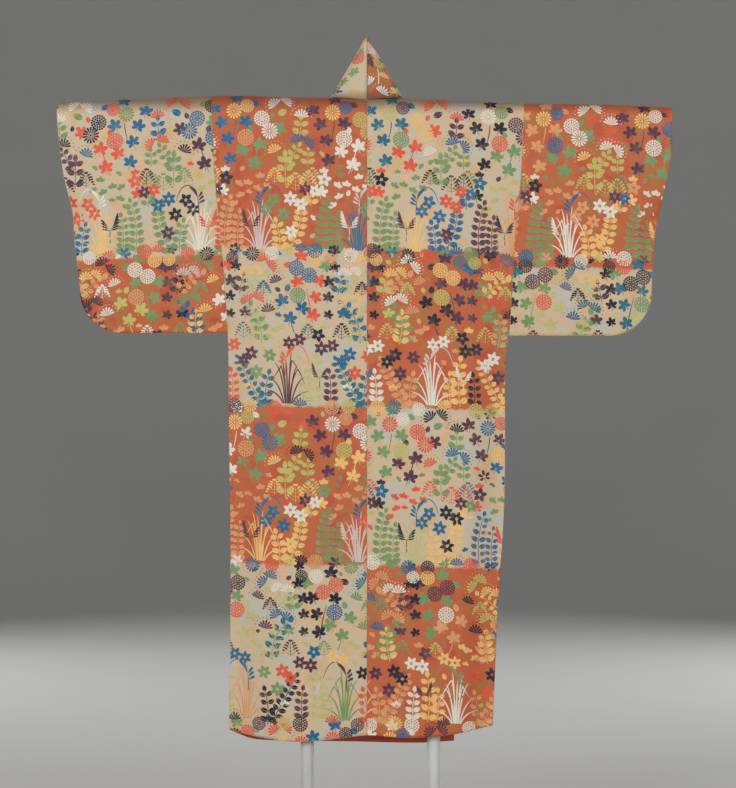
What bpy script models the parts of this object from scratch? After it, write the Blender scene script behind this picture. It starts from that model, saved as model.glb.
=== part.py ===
"""A noh robe in kosode cut, hung flat over the padded bar of a display stand.

The back faces -Y. X runs to the right as the back is seen, Z is up, and the floor is at 0.
Every piece of cloth is a wall made from an open surface, and all surfaces share one depth rule.
"""
import math
from bisect import bisect_right

import bmesh
import bpy
from mathutils import Vector

# Cloth, in metres
WALL = 0.0022
COLLAR_WALL = 0.003
SEAM_GAP = 0.0006
SEAM_HALF_DEPTH = WALL / 2 + 0.00025

# Heights above the floor
SHOULDER = 1.746
SLEEVE_DROP = {"left": 0.536, "right": 0.542}

# Places across the robe
CENTRE = 0.0057
NECK_HALF = 0.084
SLEEVE_CORNER = 0.098

# The bar that carries the robe, and how the cloth rolls over it
BAR_RADIUS = 0.025
BAR_CLEARANCE = 0.0008
ROLL_RADIUS = BAR_RADIUS + BAR_CLEARANCE + WALL / 2
BAR_HALF_LENGTH = 0.665

# How the two sheets of cloth close towards their seams
SIDE_EASE = 0.09
SLEEVE_EASE = 0.06
SLEEVE_LOW_DEPTH = 0.010
HEM_FLARE = 0.004
HEM_WAVE = 0.004
WAVE_LENGTH = 0.31

# The fronts cross left over right, one layer outside the other
LAP_RISE = 0.0062
LAP_START = -0.21
LAP_WIDTH = 0.08
LAP_FALL = 0.07
LAPEL_END = 0.75

# The stand
POST_RADIUS = 0.015
POST_X = (-0.1307, 0.158)
FLANGE_RADIUS = 0.042
FLANGE_HEIGHT = 0.008
BASE_SIZE = (0.60, 0.42, 0.010)
BASE_CORNER = 0.04
REST_GAP = 0.0003

# Top of the cloth over the bar: place across, height against SHOULDER
SHOULDER_LINE = (
    (-0.705, -0.0085), (-0.51, 0.0), (-0.315, 0.0068), (-0.147, 0.0030),
    (0.090, 0.0010), (0.365, -0.0110), (0.535, -0.0130), (0.705, -0.0205),
)

# Side of the body and its sleeve seam: drop below SHOULDER, place across
SIDE_LINE = {
    "left": ((0.0, -0.3489), (0.189, -0.3398), (0.332, -0.3262), (0.532, -0.3125),
             (0.75, -0.3098), (1.10, -0.3062), (1.355, -0.3085), (1.45, -0.3095)),
    "right": ((0.0, 0.3648), (0.189, 0.3557), (0.332, 0.3421), (0.532, 0.3307),
              (0.60, 0.3225), (0.918, 0.3194), (1.191, 0.3034), (1.45, 0.2921)),
}

# Outer edge of the sleeve: drop below SHOULDER, place across
CUFF_LINE = {
    "left": ((0.0, -0.7020), (0.08, -0.6970), (0.175, -0.6853), (0.257, -0.6671),
             (0.325, -0.6626), (0.434, -0.6500)),
    "right": ((0.0, 0.7020), (0.12, 0.6985), (0.175, 0.6899), (0.257, 0.6740),
              (0.325, 0.6625), (0.434, 0.6558)),
}

# Hems: place across, drop below SHOULDER
BACK_HEM = (
    (-0.31, 1.441), (-0.251, 1.4535), (-0.151, 1.465), (-0.056, 1.458), (0.006, 1.4515),
    (0.092, 1.457), (0.172, 1.4525), (0.231, 1.4435), (0.292, 1.432),
)
OUTER_HEM = (
    (-0.31, 1.441), (-0.251, 1.466), (-0.151, 1.470), (-0.02, 1.474), (0.12, 1.476), (0.21, 1.471),
)
INNER_HEM = (
    (-0.06, 1.471), (0.0, 1.466), (0.06, 1.461), (0.172, 1.4525), (0.231, 1.4435), (0.292, 1.432),
)

# Edge that the collar is sewn to in front: drop, distance outward from the centre
LAPEL_LINE = {
    "left": ((0.0, NECK_HALF), (0.03, 0.082), (0.08, 0.066), (0.23, 0.0), (0.49, -0.102),
             (LAPEL_END, -0.200)),
    "right": ((0.0, NECK_HALF), (0.03, 0.082), (0.08, 0.066), (0.23, 0.0), (0.40, -0.036),
              (LAPEL_END, -0.0567)),
}
OVERLAP_SEAM_SHIFT = {"left": 0.0, "right": 0.060}
FRONT_HEM = {"left": OUTER_HEM, "right": INNER_HEM}

# Neckline of the body on the roll over the bar: angle from the back, distance from the centre
NECKLINE = ((45.0, 0.004), (60.0, 0.045), (75.0, 0.0825), (90.0, NECK_HALF))

# Collar behind and beside the neck. Sewn edge: distance out, angle on the roll.
# Free edge: distance out, y, height over the shoulder
COLLAR_NECK = (
    (0.0000, 50.0, 0.0000, -0.0120, 0.1350),
    (0.0240, 56.0, 0.0014, -0.0118, 0.1346),
    (0.0450, 65.0, 0.0026, -0.0110, 0.1340),
    (0.0660, 76.0, 0.0038, -0.0090, 0.1325),
    (0.0790, 88.0, 0.0060, -0.0010, 0.1285),
    (0.0808, 104.0, 0.0095, 0.0160, 0.1165),
    (0.0812, 122.0, 0.0135, 0.0350, 0.0960),
    (0.0815, 142.0, 0.0140, 0.0490, 0.0700),
    (0.0815, 164.0, 0.0080, 0.0540, 0.0420),
)

# Collar in front: drop of the sewn edge, width, how far the free edge stands off
COLLAR_FRONT = (
    (0.03, 0.094, 0.024), (0.07, 0.092, 0.012), (0.11, 0.086, 0.005), (0.16, 0.077, 0.001),
    (0.22, 0.070, 0.0), (LAPEL_END, 0.070, 0.0),
)
COLLAR_CROSSING = 0.012
COLLAR_STAND = 0.024

# Rows shared by every piece, as parts of the sleeve's fall, then of the fall below the sleeve
SLEEVE_FALLS = (0.03, 0.09, 0.17, 0.27, 0.405, 0.51, 0.62, 0.73, 0.84, 0.93, 1.0)
OVERLAP_START = 4
LOWER_FALLS = (0.06, 0.14, 0.232, 0.34, 0.45, 0.56, 0.67, 0.78, 0.89, 1.0)
LAPEL_ROWS = len(SLEEVE_FALLS) + 3

# Columns of a body length from its centre edge, closer where its side rounds in
BODY_COLUMNS = (0.0, 0.15, 0.30, 0.45, 0.58, 0.68, 0.76, 0.83, 0.90, 0.95, 1.0)

# How many steps the grids have round the roll and across the other pieces
ROLL_STEPS = 12
SLEEVE_COLUMNS = 7
CORNER_COLUMNS = 4
OVERLAP_COLUMNS = 4
COLLAR_COLUMNS = 5

SIGN = {"left": -1.0, "right": 1.0}


def smooth(part):
    """Ease from 0 to 1 with level ends."""
    part = min(max(part, 0.0), 1.0)
    return part * part * (3.0 - 2.0 * part)


def mix(low, high, part):
    return low + (high - low) * part


def read(rows, place):
    """Read a table of (place, value) rows with a soft curve through them."""
    places = [row[0] for row in rows]
    if place <= places[0]:
        return rows[0][1]
    if place >= places[-1]:
        return rows[-1][1]
    step = bisect_right(places, place) - 1

    def slope(at):
        before, after = max(at - 1, 0), min(at + 1, len(rows) - 1)
        return (rows[after][1] - rows[before][1]) / (rows[after][0] - rows[before][0])

    width = places[step + 1] - places[step]
    part = (place - places[step]) / width
    start, end = rows[step][1], rows[step + 1][1]
    rise = part * part * (3.0 - 2.0 * part)
    lead = part * (1.0 - part) ** 2 * width
    trail = part * part * (1.0 - part) * width
    return mix(start, end, rise) + lead * slope(step) - trail * slope(step + 1)


def bar_axis(x):
    """Height of the bar's centre line under the cloth at x."""
    return SHOULDER + read(SHOULDER_LINE, x) - WALL / 2 - ROLL_RADIUS


def seam_depth(side, drop):
    """Half the distance between back and front sheet along the sleeve seam."""
    bottom = SLEEVE_DROP[side]
    taper = mix(ROLL_RADIUS, SLEEVE_LOW_DEPTH, smooth(drop / bottom))
    return mix(SEAM_HALF_DEPTH, taper, smooth((bottom - drop) / SLEEVE_EASE))


def body_depth(side, x, z):
    """Half the distance between the body's back and front sheets."""
    drop = SHOULDER - z
    inside = abs(read(SIDE_LINE[side], drop) - x)
    full = ROLL_RADIUS + HEM_FLARE * smooth(drop / 1.2)
    return mix(seam_depth(side, drop), full, smooth(inside / SIDE_EASE))


def hem_wave(side, x, z):
    """Soft upright folds that grow towards the hem and die out at the side seams."""
    drop = SHOULDER - z
    inside = abs(read(SIDE_LINE[side], drop) - x)
    strength = smooth((drop - 0.35) / 1.1) * smooth(inside / SIDE_EASE)
    return HEM_WAVE * strength * math.cos(2.0 * math.pi * (x - CENTRE) / WAVE_LENGTH)


def back_y(side, x, z):
    return -body_depth(side, x, z) + hem_wave(side, x, z)


def front_y(layer, x, z):
    """The front sheet. The left front crosses outside the right one."""
    side = "left" if x < CENTRE else "right"
    y = body_depth(side, x, z) + hem_wave(side, x, z)
    if layer == "left":
        fall = smooth((bar_axis(x) - z) / LAP_FALL)
        y += LAP_RISE * smooth((x - LAP_START) / LAP_WIDTH) * fall
    return y


def roll_rows():
    """Angles of the roll over the bar, from the back (0) to the front (pi)."""
    return [("roll", math.pi * step / ROLL_STEPS) for step in range(ROLL_STEPS + 1)]


def body_falls(side):
    """Rows of a body length below the bar, at the sleeve's own rows along the sleeve seam."""
    x = SIDE_LINE[side][0][1]
    axis_drop = SHOULDER - bar_axis(x)
    length = read(BACK_HEM, x) - axis_drop
    sleeve = (SLEEVE_DROP[side] - axis_drop) / length
    upper = [fall * sleeve for fall in SLEEVE_FALLS]
    return upper + [mix(sleeve, 1.0, fall) for fall in LOWER_FALLS]


def over_the_bar(falls):
    """Rows of a length of cloth, from its back edge over the bar to its front edge."""
    back = [("back", fall) for fall in reversed(falls)]
    return back + roll_rows() + [("front", fall) for fall in falls]


def overlap_seam(side, drop):
    """Distance from the centre to the seam between a front and its overlap."""
    return OVERLAP_SEAM_SHIFT[side] * smooth((drop - 0.3) / 1.0)


def front_edge(side, drop):
    """Distance from the centre to the front edge of a body length."""
    return max(read(LAPEL_LINE[side], drop), overlap_seam(side, drop)) + SEAM_GAP / 2


def roll_edge(angle):
    """Distance from the centre to the inner edge of a body length on the roll."""
    degrees = math.degrees(angle)
    if degrees < NECKLINE[0][0] - 1.0:
        return SEAM_GAP / 2
    for (low, near), (high, far) in zip(NECKLINE, NECKLINE[1:]):
        if degrees <= high:
            return mix(near, far, (degrees - low) / (high - low))
    return NECK_HALF


def fall_height(hem, x, fall):
    """Height of a row at x, between the bar's axis and the hem."""
    return mix(bar_axis(x), SHOULDER - read(hem, x), fall)


def body_point(side, part, row):
    """Point of a body length, from its centre edge (part 0) to its side edge (part 1)."""
    face, value = row
    sign = SIGN[side]
    if face == "roll":
        inner = CENTRE + sign * roll_edge(value)
        x = mix(inner, SIDE_LINE[side][0][1] - sign * SEAM_GAP / 2, part)
        y = -ROLL_RADIUS * math.cos(value)
        return Vector((x, y, bar_axis(x) + ROLL_RADIUS * math.sin(value)))
    hem = BACK_HEM if face == "back" else FRONT_HEM[side]
    x = CENTRE
    for _ in range(4):
        z = fall_height(hem, x, value)
        drop = SHOULDER - z
        edge = SEAM_GAP / 2 if face == "back" else front_edge(side, drop)
        outer = read(SIDE_LINE[side], drop) - sign * SEAM_GAP / 2
        x = mix(CENTRE + sign * edge, outer, part)
    y = back_y(side, x, z) if face == "back" else front_y(side, x, z)
    return Vector((x, y, z))


def overlap_point(side, part, fall):
    """Point of an overlap, from its seam (part 0) to its free edge (part 1)."""
    sign = SIGN[side]
    x = CENTRE
    for _ in range(4):
        z = fall_height(FRONT_HEM[side], x, fall)
        drop = SHOULDER - z
        seam = overlap_seam(side, drop) - SEAM_GAP / 2
        free = read(LAPEL_LINE[side], drop) + SEAM_GAP / 2
        x = CENTRE + sign * mix(seam, free, part)
    return Vector((x, front_y(side, x, z), z))


def sleeve_bottom(side, x):
    """Height of the sleeve's lower edge, with its round outer corner."""
    low = SHOULDER - SLEEVE_DROP[side]
    corner = abs(CUFF_LINE[side][-1][1]) - SLEEVE_CORNER
    past = min(max(abs(x) - corner, 0.0), SLEEVE_CORNER)
    return low + SLEEVE_CORNER - math.sqrt(SLEEVE_CORNER ** 2 - past ** 2)


def sleeve_columns(side):
    """Places across the sleeve's lower edge as parts of its width, closer round the corner."""
    start = abs(read(SIDE_LINE[side], SLEEVE_DROP[side]))
    end = abs(CUFF_LINE[side][-1][1])
    corner = end - SLEEVE_CORNER
    straight = [mix(start, corner, step / SLEEVE_COLUMNS) for step in range(SLEEVE_COLUMNS)]
    turns = [math.pi / 2 * step / CORNER_COLUMNS for step in range(CORNER_COLUMNS + 1)]
    curved = [corner + SLEEVE_CORNER * math.sin(turn) for turn in turns]
    return [(place - start) / (end - start) for place in straight + curved]


def sleeve_depth(side, x, z):
    """Half the distance between a sleeve's sheets: open at the cuff, closed below it."""
    drop = SHOULDER - z
    bottom = sleeve_bottom(side, x)
    taper = mix(ROLL_RADIUS, SLEEVE_LOW_DEPTH, smooth(drop / SLEEVE_DROP[side]))
    edge = abs(abs(read(CUFF_LINE[side], drop)) - abs(x))
    closed = smooth((drop - 0.20) / 0.08) * (1.0 - smooth(edge / SLEEVE_EASE))
    return mix(SEAM_HALF_DEPTH, taper, smooth((z - bottom) / SLEEVE_EASE) * (1.0 - closed))


def sleeve_point(side, part, row):
    """Point of a sleeve, from its seam (part 0) to its outer edge (part 1)."""
    face, value = row
    sign = SIGN[side]
    if face == "roll":
        inner = SIDE_LINE[side][0][1] + sign * SEAM_GAP / 2
        x = mix(inner, CUFF_LINE[side][0][1], part)
        y = -ROLL_RADIUS * math.cos(value)
        return Vector((x, y, bar_axis(x) + ROLL_RADIUS * math.sin(value)))
    start = abs(read(SIDE_LINE[side], SLEEVE_DROP[side]))
    end = abs(CUFF_LINE[side][-1][1])
    low = sleeve_bottom(side, mix(start, end, part))
    x = sign * mix(start, end, part)
    for _ in range(3):
        z = mix(bar_axis(x), low, value)
        drop = SHOULDER - z
        inner = read(SIDE_LINE[side], drop) + sign * SEAM_GAP / 2
        x = mix(inner, read(CUFF_LINE[side], drop), part)
    depth = sleeve_depth(side, x, z)
    return Vector((x, -depth if face == "back" else depth, z))


def neck_section(side, sewn_out, angle, free_out, free_y, free_up):
    """Sewn and free edge of the collar where it stands round the neck."""
    sign = SIGN[side]
    x = CENTRE + sign * (sewn_out + SEAM_GAP / 2)
    radius = ROLL_RADIUS + COLLAR_WALL / 2
    turn = math.radians(angle)
    sewn = Vector((x, -radius * math.cos(turn), bar_axis(x) + radius * math.sin(turn)))
    over = COLLAR_CROSSING * smooth((free_y - 0.03) / 0.025) if side == "left" else 0.0
    top = SHOULDER + read(SHOULDER_LINE, CENTRE) + free_up
    free = Vector((CENTRE + sign * (free_out + SEAM_GAP / 2), free_y + over, top))
    return sewn, free


def collar_sections(side):
    """Rows of the collar, from the centre back round the neck to its end in front."""
    standing = [("neck", neck_section(side, *row)) for row in COLLAR_NECK]
    return standing + [("front", fall) for fall in body_falls(side)[:LAPEL_ROWS]]


def collar_point(side, part, row):
    """Point of the collar, from its sewn edge (part 0) to its free edge (part 1)."""
    face, value = row
    if face == "neck":
        return value[0].lerp(value[1], part)
    sign = SIGN[side]
    x = CENTRE
    for _ in range(4):
        z = fall_height(FRONT_HEM[side], x, value)
        drop = SHOULDER - z
        out = read(LAPEL_LINE[side], drop)
        x = CENTRE + sign * (out - SEAM_GAP / 2)
    ahead = read(LAPEL_LINE[side], drop + 0.01)
    along = Vector((sign * (ahead - out), 0.0, -0.01)).normalized()
    width = read([line[:2] for line in COLLAR_FRONT], drop) * part
    x -= sign * abs(along.z) * width
    z += abs(along.x) * width
    stand = read([(line[0], line[2]) for line in COLLAR_FRONT], drop) * part
    over = COLLAR_CROSSING * stand / COLLAR_STAND if side == "left" else 0.0
    return Vector((x, front_y(side, x, min(z, SHOULDER - 0.06)) + stand + over, z))


def material(name, colour, roughness, metallic=0.0):
    made = bpy.data.materials.new(name)
    made.use_nodes = True
    shader = made.node_tree.nodes["Principled BSDF"]
    shader.inputs["Base Color"].default_value = (*colour, 1.0)
    shader.inputs["Roughness"].default_value = roughness
    shader.inputs["Metallic"].default_value = metallic
    return made


def keep(thing, look):
    """Put an object in the robe's collection with its material."""
    thing.data.materials.append(look)
    ROBE.objects.link(thing)
    return thing


def cloth(name, columns, rows, point, look, wall=WALL):
    """Lay a grid of columns and rows onto the cloth's surface and give it a wall."""
    mesh = bpy.data.meshes.new(name)
    grid = bmesh.new()
    bmesh.ops.create_grid(grid, x_segments=len(columns) - 1, y_segments=len(rows) - 1, size=0.5)
    for vert in grid.verts:
        column = round((vert.co.x + 0.5) * (len(columns) - 1))
        row = round((vert.co.y + 0.5) * (len(rows) - 1))
        vert.co = point(columns[column], rows[row])
    bmesh.ops.recalc_face_normals(grid, faces=grid.faces)
    grid.to_mesh(mesh)
    grid.free()
    mesh.shade_smooth()
    piece = keep(bpy.data.objects.new(name, mesh), look)
    shell = piece.modifiers.new("wall", "SOLIDIFY")
    shell.thickness = wall
    shell.offset = 0.0
    return piece


def even(count):
    return [step / count for step in range(count + 1)]


def robe():
    """Sew the robe: two body lengths, two overlaps, two sleeves and two collar halves."""
    brocade = material("brocade", (0.62, 0.33, 0.18), 0.6)
    for side in ("left", "right"):
        falls = body_falls(side)
        cloth(f"body_{side}", BODY_COLUMNS, over_the_bar(falls),
              lambda part, row, side=side: body_point(side, part, row), brocade)
        cloth(f"overlap_{side}", even(OVERLAP_COLUMNS), falls[OVERLAP_START:],
              lambda part, fall, side=side: overlap_point(side, part, fall), brocade)
        cloth(f"sleeve_{side}", sleeve_columns(side), over_the_bar(SLEEVE_FALLS),
              lambda part, row, side=side: sleeve_point(side, part, row), brocade)
        cloth(f"collar_{side}", even(COLLAR_COLUMNS), collar_sections(side),
              lambda part, row, side=side: collar_point(side, part, row), brocade, COLLAR_WALL)


def crossbar():
    """The padded bar, a tube that follows the shoulder line."""
    look = material("padded_bar", (0.80, 0.78, 0.72), 0.8)
    path = bpy.data.curves.new("crossbar", "CURVE")
    path.dimensions = "3D"
    path.bevel_depth = BAR_RADIUS
    path.bevel_resolution = 10
    path.use_fill_caps = True
    line = path.splines.new("POLY")
    count = 24
    line.points.add(count)
    for step, point in enumerate(line.points):
        x = mix(-BAR_HALF_LENGTH, BAR_HALF_LENGTH, step / count)
        point.co = (x, 0.0, bar_axis(x), 1.0)
    keep(bpy.data.objects.new("crossbar", path), look)


def post(name, x, paint):
    """A round post with its foot flange, turned from one profile."""
    foot = BASE_SIZE[2] + REST_GAP
    lowest = min(bar_axis(x - POST_RADIUS), bar_axis(x + POST_RADIUS))
    top = lowest - BAR_RADIUS - REST_GAP
    neck = foot + FLANGE_HEIGHT
    profile = (
        (0.0, top), (POST_RADIUS - 0.001, top), (POST_RADIUS, top - 0.001),
        (POST_RADIUS, neck + 0.006), (POST_RADIUS + 0.002, neck + 0.002),
        (POST_RADIUS + 0.006, neck), (FLANGE_RADIUS - 0.0015, neck),
        (FLANGE_RADIUS, neck - 0.0015), (FLANGE_RADIUS, foot), (0.0, foot),
    )
    mesh = bpy.data.meshes.new(name)
    turned = bmesh.new()
    verts = [turned.verts.new((out, 0.0, z)) for out, z in profile]
    for first, second in zip(verts, verts[1:]):
        turned.edges.new((first, second))
    turned.to_mesh(mesh)
    turned.free()
    piece = keep(bpy.data.objects.new(name, mesh), paint)
    piece.location.x = x
    screw = piece.modifiers.new("turn", "SCREW")
    screw.steps = 28
    screw.render_steps = 28
    screw.use_merge_vertices = True
    screw.merge_threshold = 0.0001
    return piece


def base(paint):
    """The floor plate, with round corners and softened edges."""
    mesh = bpy.data.meshes.new("base_plate")
    plate = bmesh.new()
    bmesh.ops.create_cube(plate, size=1.0)
    for vert in plate.verts:
        vert.co = Vector(side * size for side, size in zip(vert.co, BASE_SIZE))
        vert.co.z += BASE_SIZE[2] / 2
    upright = [edge for edge in plate.edges if abs(edge.verts[0].co.z - edge.verts[1].co.z) > 0.001]
    bmesh.ops.bevel(plate, geom=upright, offset=BASE_CORNER, segments=6, profile=0.5,
                    affect="EDGES", material=-1)
    top = [edge for edge in plate.edges if min(vert.co.z for vert in edge.verts) > BASE_SIZE[2] - 0.0001]
    bmesh.ops.bevel(plate, geom=top, offset=0.002, segments=2, profile=0.5,
                    affect="EDGES", material=-1)
    plate.to_mesh(mesh)
    plate.free()
    return keep(bpy.data.objects.new("base_plate", mesh), paint)


def stand():
    """Two posts on a plate carry the bar."""
    paint = material("grey_paint", (0.36, 0.37, 0.38), 0.45)
    crossbar()
    post("post_left", POST_X[0], paint)
    post("post_right", POST_X[1], paint)
    base(paint)


for old in list(bpy.data.objects):
    bpy.data.objects.remove(old, do_unlink=True)

ROBE = bpy.data.collections.new("noh_robe")
bpy.context.scene.collection.children.link(ROBE)
robe()
stand()
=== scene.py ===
"""Dresses a noh robe and its display stand.

The robe is seen from its back, which faces -Y. Lengths are metres, Z is up.
Places on the cloth are given as x across the robe and b along it: b is 0 on top of the shoulder,
negative down the back and positive down the front.
"""
import math
import random

import bmesh
import bpy
import numpy as np
from bpy.props import FloatProperty, FloatVectorProperty, PointerProperty
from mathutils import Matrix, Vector


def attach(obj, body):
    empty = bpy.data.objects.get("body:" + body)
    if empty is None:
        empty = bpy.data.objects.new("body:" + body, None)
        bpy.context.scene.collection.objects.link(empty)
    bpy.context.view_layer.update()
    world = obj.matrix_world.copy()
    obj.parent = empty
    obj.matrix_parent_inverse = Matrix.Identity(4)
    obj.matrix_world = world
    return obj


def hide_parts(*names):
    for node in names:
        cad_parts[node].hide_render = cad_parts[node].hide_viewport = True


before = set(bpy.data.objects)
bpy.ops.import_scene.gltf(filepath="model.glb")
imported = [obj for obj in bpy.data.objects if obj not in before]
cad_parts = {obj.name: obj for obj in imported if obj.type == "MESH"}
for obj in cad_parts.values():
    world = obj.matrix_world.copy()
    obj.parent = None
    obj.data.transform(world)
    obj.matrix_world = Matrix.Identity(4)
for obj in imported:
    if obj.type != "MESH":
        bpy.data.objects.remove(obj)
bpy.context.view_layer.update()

bl_info = {
    "name": "Noh robe",
    "version": (1, 0, 0),
    "blender": (4, 5, 0),
    "location": "View3D > Sidebar > Robe",
    "description": "Sews, weaves and lights a noh robe on its display stand",
    "category": "Object",
}

# The cut and the way the cloth hangs, as in the solids
WALL = 0.0022
SHOULDER = 1.746
CENTRE = 0.0057
NECK_HALF = 0.084
BAR_RADIUS = 0.025
BAR_GAP = 0.0008
ROLL_RADIUS = BAR_RADIUS + BAR_GAP + WALL / 2
HALF_ROLL = math.pi * ROLL_RADIUS / 2
SLEEVE_DROP = {"left": 0.536, "right": 0.542}
SLEEVE_CORNER = 0.098
SEAM_HALF_DEPTH = WALL / 2 + 0.00025
SIDE_EASE = 0.09
SLEEVE_EASE = 0.06
ROLL_EASE = 0.03
CUFF_OPENING = 0.20
CUFF_EASE = 0.08
CUFF_SEAM_START = 0.25
RIPPLE = 0.00045
SLEEVE_LOW_DEPTH = 0.010
HEM_FLARE = 0.004
HEM_WAVE = 0.004
WAVE_LENGTH = 0.31
LAP_RISE = 0.0062
LAP_START = -0.21
LAP_WIDTH = 0.08
LAP_FALL = 0.07
LAPEL_END = 0.75
OVERLAP_START = {"left": 0.1467, "right": 0.1462}
SIGN = {"left": -1.0, "right": 1.0}
OTHER = {"left": "right", "right": "left"}

# Top of the cloth over the bar: place across, height against SHOULDER
SHOULDER_LINE = (
    (-0.705, -0.0085), (-0.51, 0.0), (-0.315, 0.0068), (-0.147, 0.0030),
    (0.090, 0.0010), (0.365, -0.0110), (0.535, -0.0130), (0.705, -0.0205),
)

# Side of the body and its sleeve seam: drop below SHOULDER, place across
SIDE_LINE = {
    "left": ((0.0, -0.3489), (0.189, -0.3398), (0.332, -0.3262), (0.532, -0.3125),
             (0.75, -0.3098), (1.10, -0.3062), (1.355, -0.3085), (1.45, -0.3095)),
    "right": ((0.0, 0.3648), (0.189, 0.3557), (0.332, 0.3421), (0.532, 0.3307),
              (0.60, 0.3225), (0.918, 0.3194), (1.191, 0.3034), (1.45, 0.2921)),
}

# Outer edge of the sleeve: drop below SHOULDER, place across
CUFF_LINE = {
    "left": ((0.0, -0.7020), (0.08, -0.6970), (0.175, -0.6853), (0.257, -0.6671),
             (0.325, -0.6626), (0.434, -0.6500)),
    "right": ((0.0, 0.7020), (0.12, 0.6985), (0.175, 0.6899), (0.257, 0.6740),
              (0.325, 0.6625), (0.434, 0.6558)),
}

# Hems: place across, drop below SHOULDER
BACK_HEM = (
    (-0.31, 1.441), (-0.251, 1.4535), (-0.151, 1.465), (-0.056, 1.458), (0.006, 1.4515),
    (0.092, 1.457), (0.172, 1.4525), (0.231, 1.4435), (0.292, 1.432),
)
OUTER_HEM = (
    (-0.31, 1.441), (-0.251, 1.466), (-0.151, 1.470), (-0.02, 1.474), (0.12, 1.476), (0.21, 1.471),
)
INNER_HEM = (
    (-0.06, 1.471), (0.0, 1.466), (0.06, 1.461), (0.172, 1.4525), (0.231, 1.4435), (0.292, 1.432),
)
FRONT_HEM = {"left": OUTER_HEM, "right": INNER_HEM}

# Edge that the collar is sewn to in front: drop, distance outward from the centre
LAPEL_LINE = {
    "left": ((0.0, NECK_HALF), (0.03, 0.082), (0.08, 0.066), (0.23, 0.0), (0.49, -0.102),
             (LAPEL_END, -0.200)),
    "right": ((0.0, NECK_HALF), (0.03, 0.082), (0.08, 0.066), (0.23, 0.0), (0.40, -0.036),
              (LAPEL_END, -0.0567)),
}
OVERLAP_SEAM_SHIFT = {"left": 0.0, "right": 0.060}

# Neckline on the roll over the bar: angle from the back, distance from the centre
NECKLINE = ((45.0, 0.0), (47.0, 0.010), (60.0, 0.045), (75.0, 0.0825), (90.0, NECK_HALF))

# Collar round the neck. Sewn edge: distance out, angle on the roll.
# Free edge: distance out, y, height over the shoulder
COLLAR_NECK = (
    (0.0000, 50.0, 0.0000, -0.0120, 0.1350),
    (0.0240, 56.0, 0.0014, -0.0118, 0.1346),
    (0.0450, 65.0, 0.0026, -0.0110, 0.1340),
    (0.0660, 76.0, 0.0038, -0.0090, 0.1325),
    (0.0790, 88.0, 0.0060, -0.0010, 0.1285),
    (0.0808, 104.0, 0.0095, 0.0160, 0.1165),
    (0.0812, 122.0, 0.0135, 0.0350, 0.0960),
    (0.0815, 142.0, 0.0140, 0.0490, 0.0700),
    (0.0815, 164.0, 0.0080, 0.0540, 0.0420),
)

# Collar in front: drop of the sewn edge, width, how far the free edge stands off
COLLAR_FRONT = (
    (0.03, 0.094, 0.024), (0.07, 0.092, 0.012), (0.11, 0.086, 0.005), (0.16, 0.077, 0.001),
    (0.22, 0.070, 0.0), (LAPEL_END, 0.070, 0.0),
)
COLLAR_CROSSING = 0.012
COLLAR_STAND = 0.024
COLLAR_WALL = 0.003

COLLAR_HALF_GAP = 0.0003
CROSSING_START = 0.03
CROSSING_EASE = 0.025

# Grid that holds the collar's surface: columns and rows, the rows among which a place behind the
# neck is looked for, the rows of the mesh, and the drops at which the rows in front are worked out
COLLAR_COLUMNS = 13
COLLAR_ROWS = 150
NECK_ROWS = 40
COLLAR_MESH_ROWS = 130
FRONT_START = 0.052
FRONT_STEP = 0.012

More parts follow.
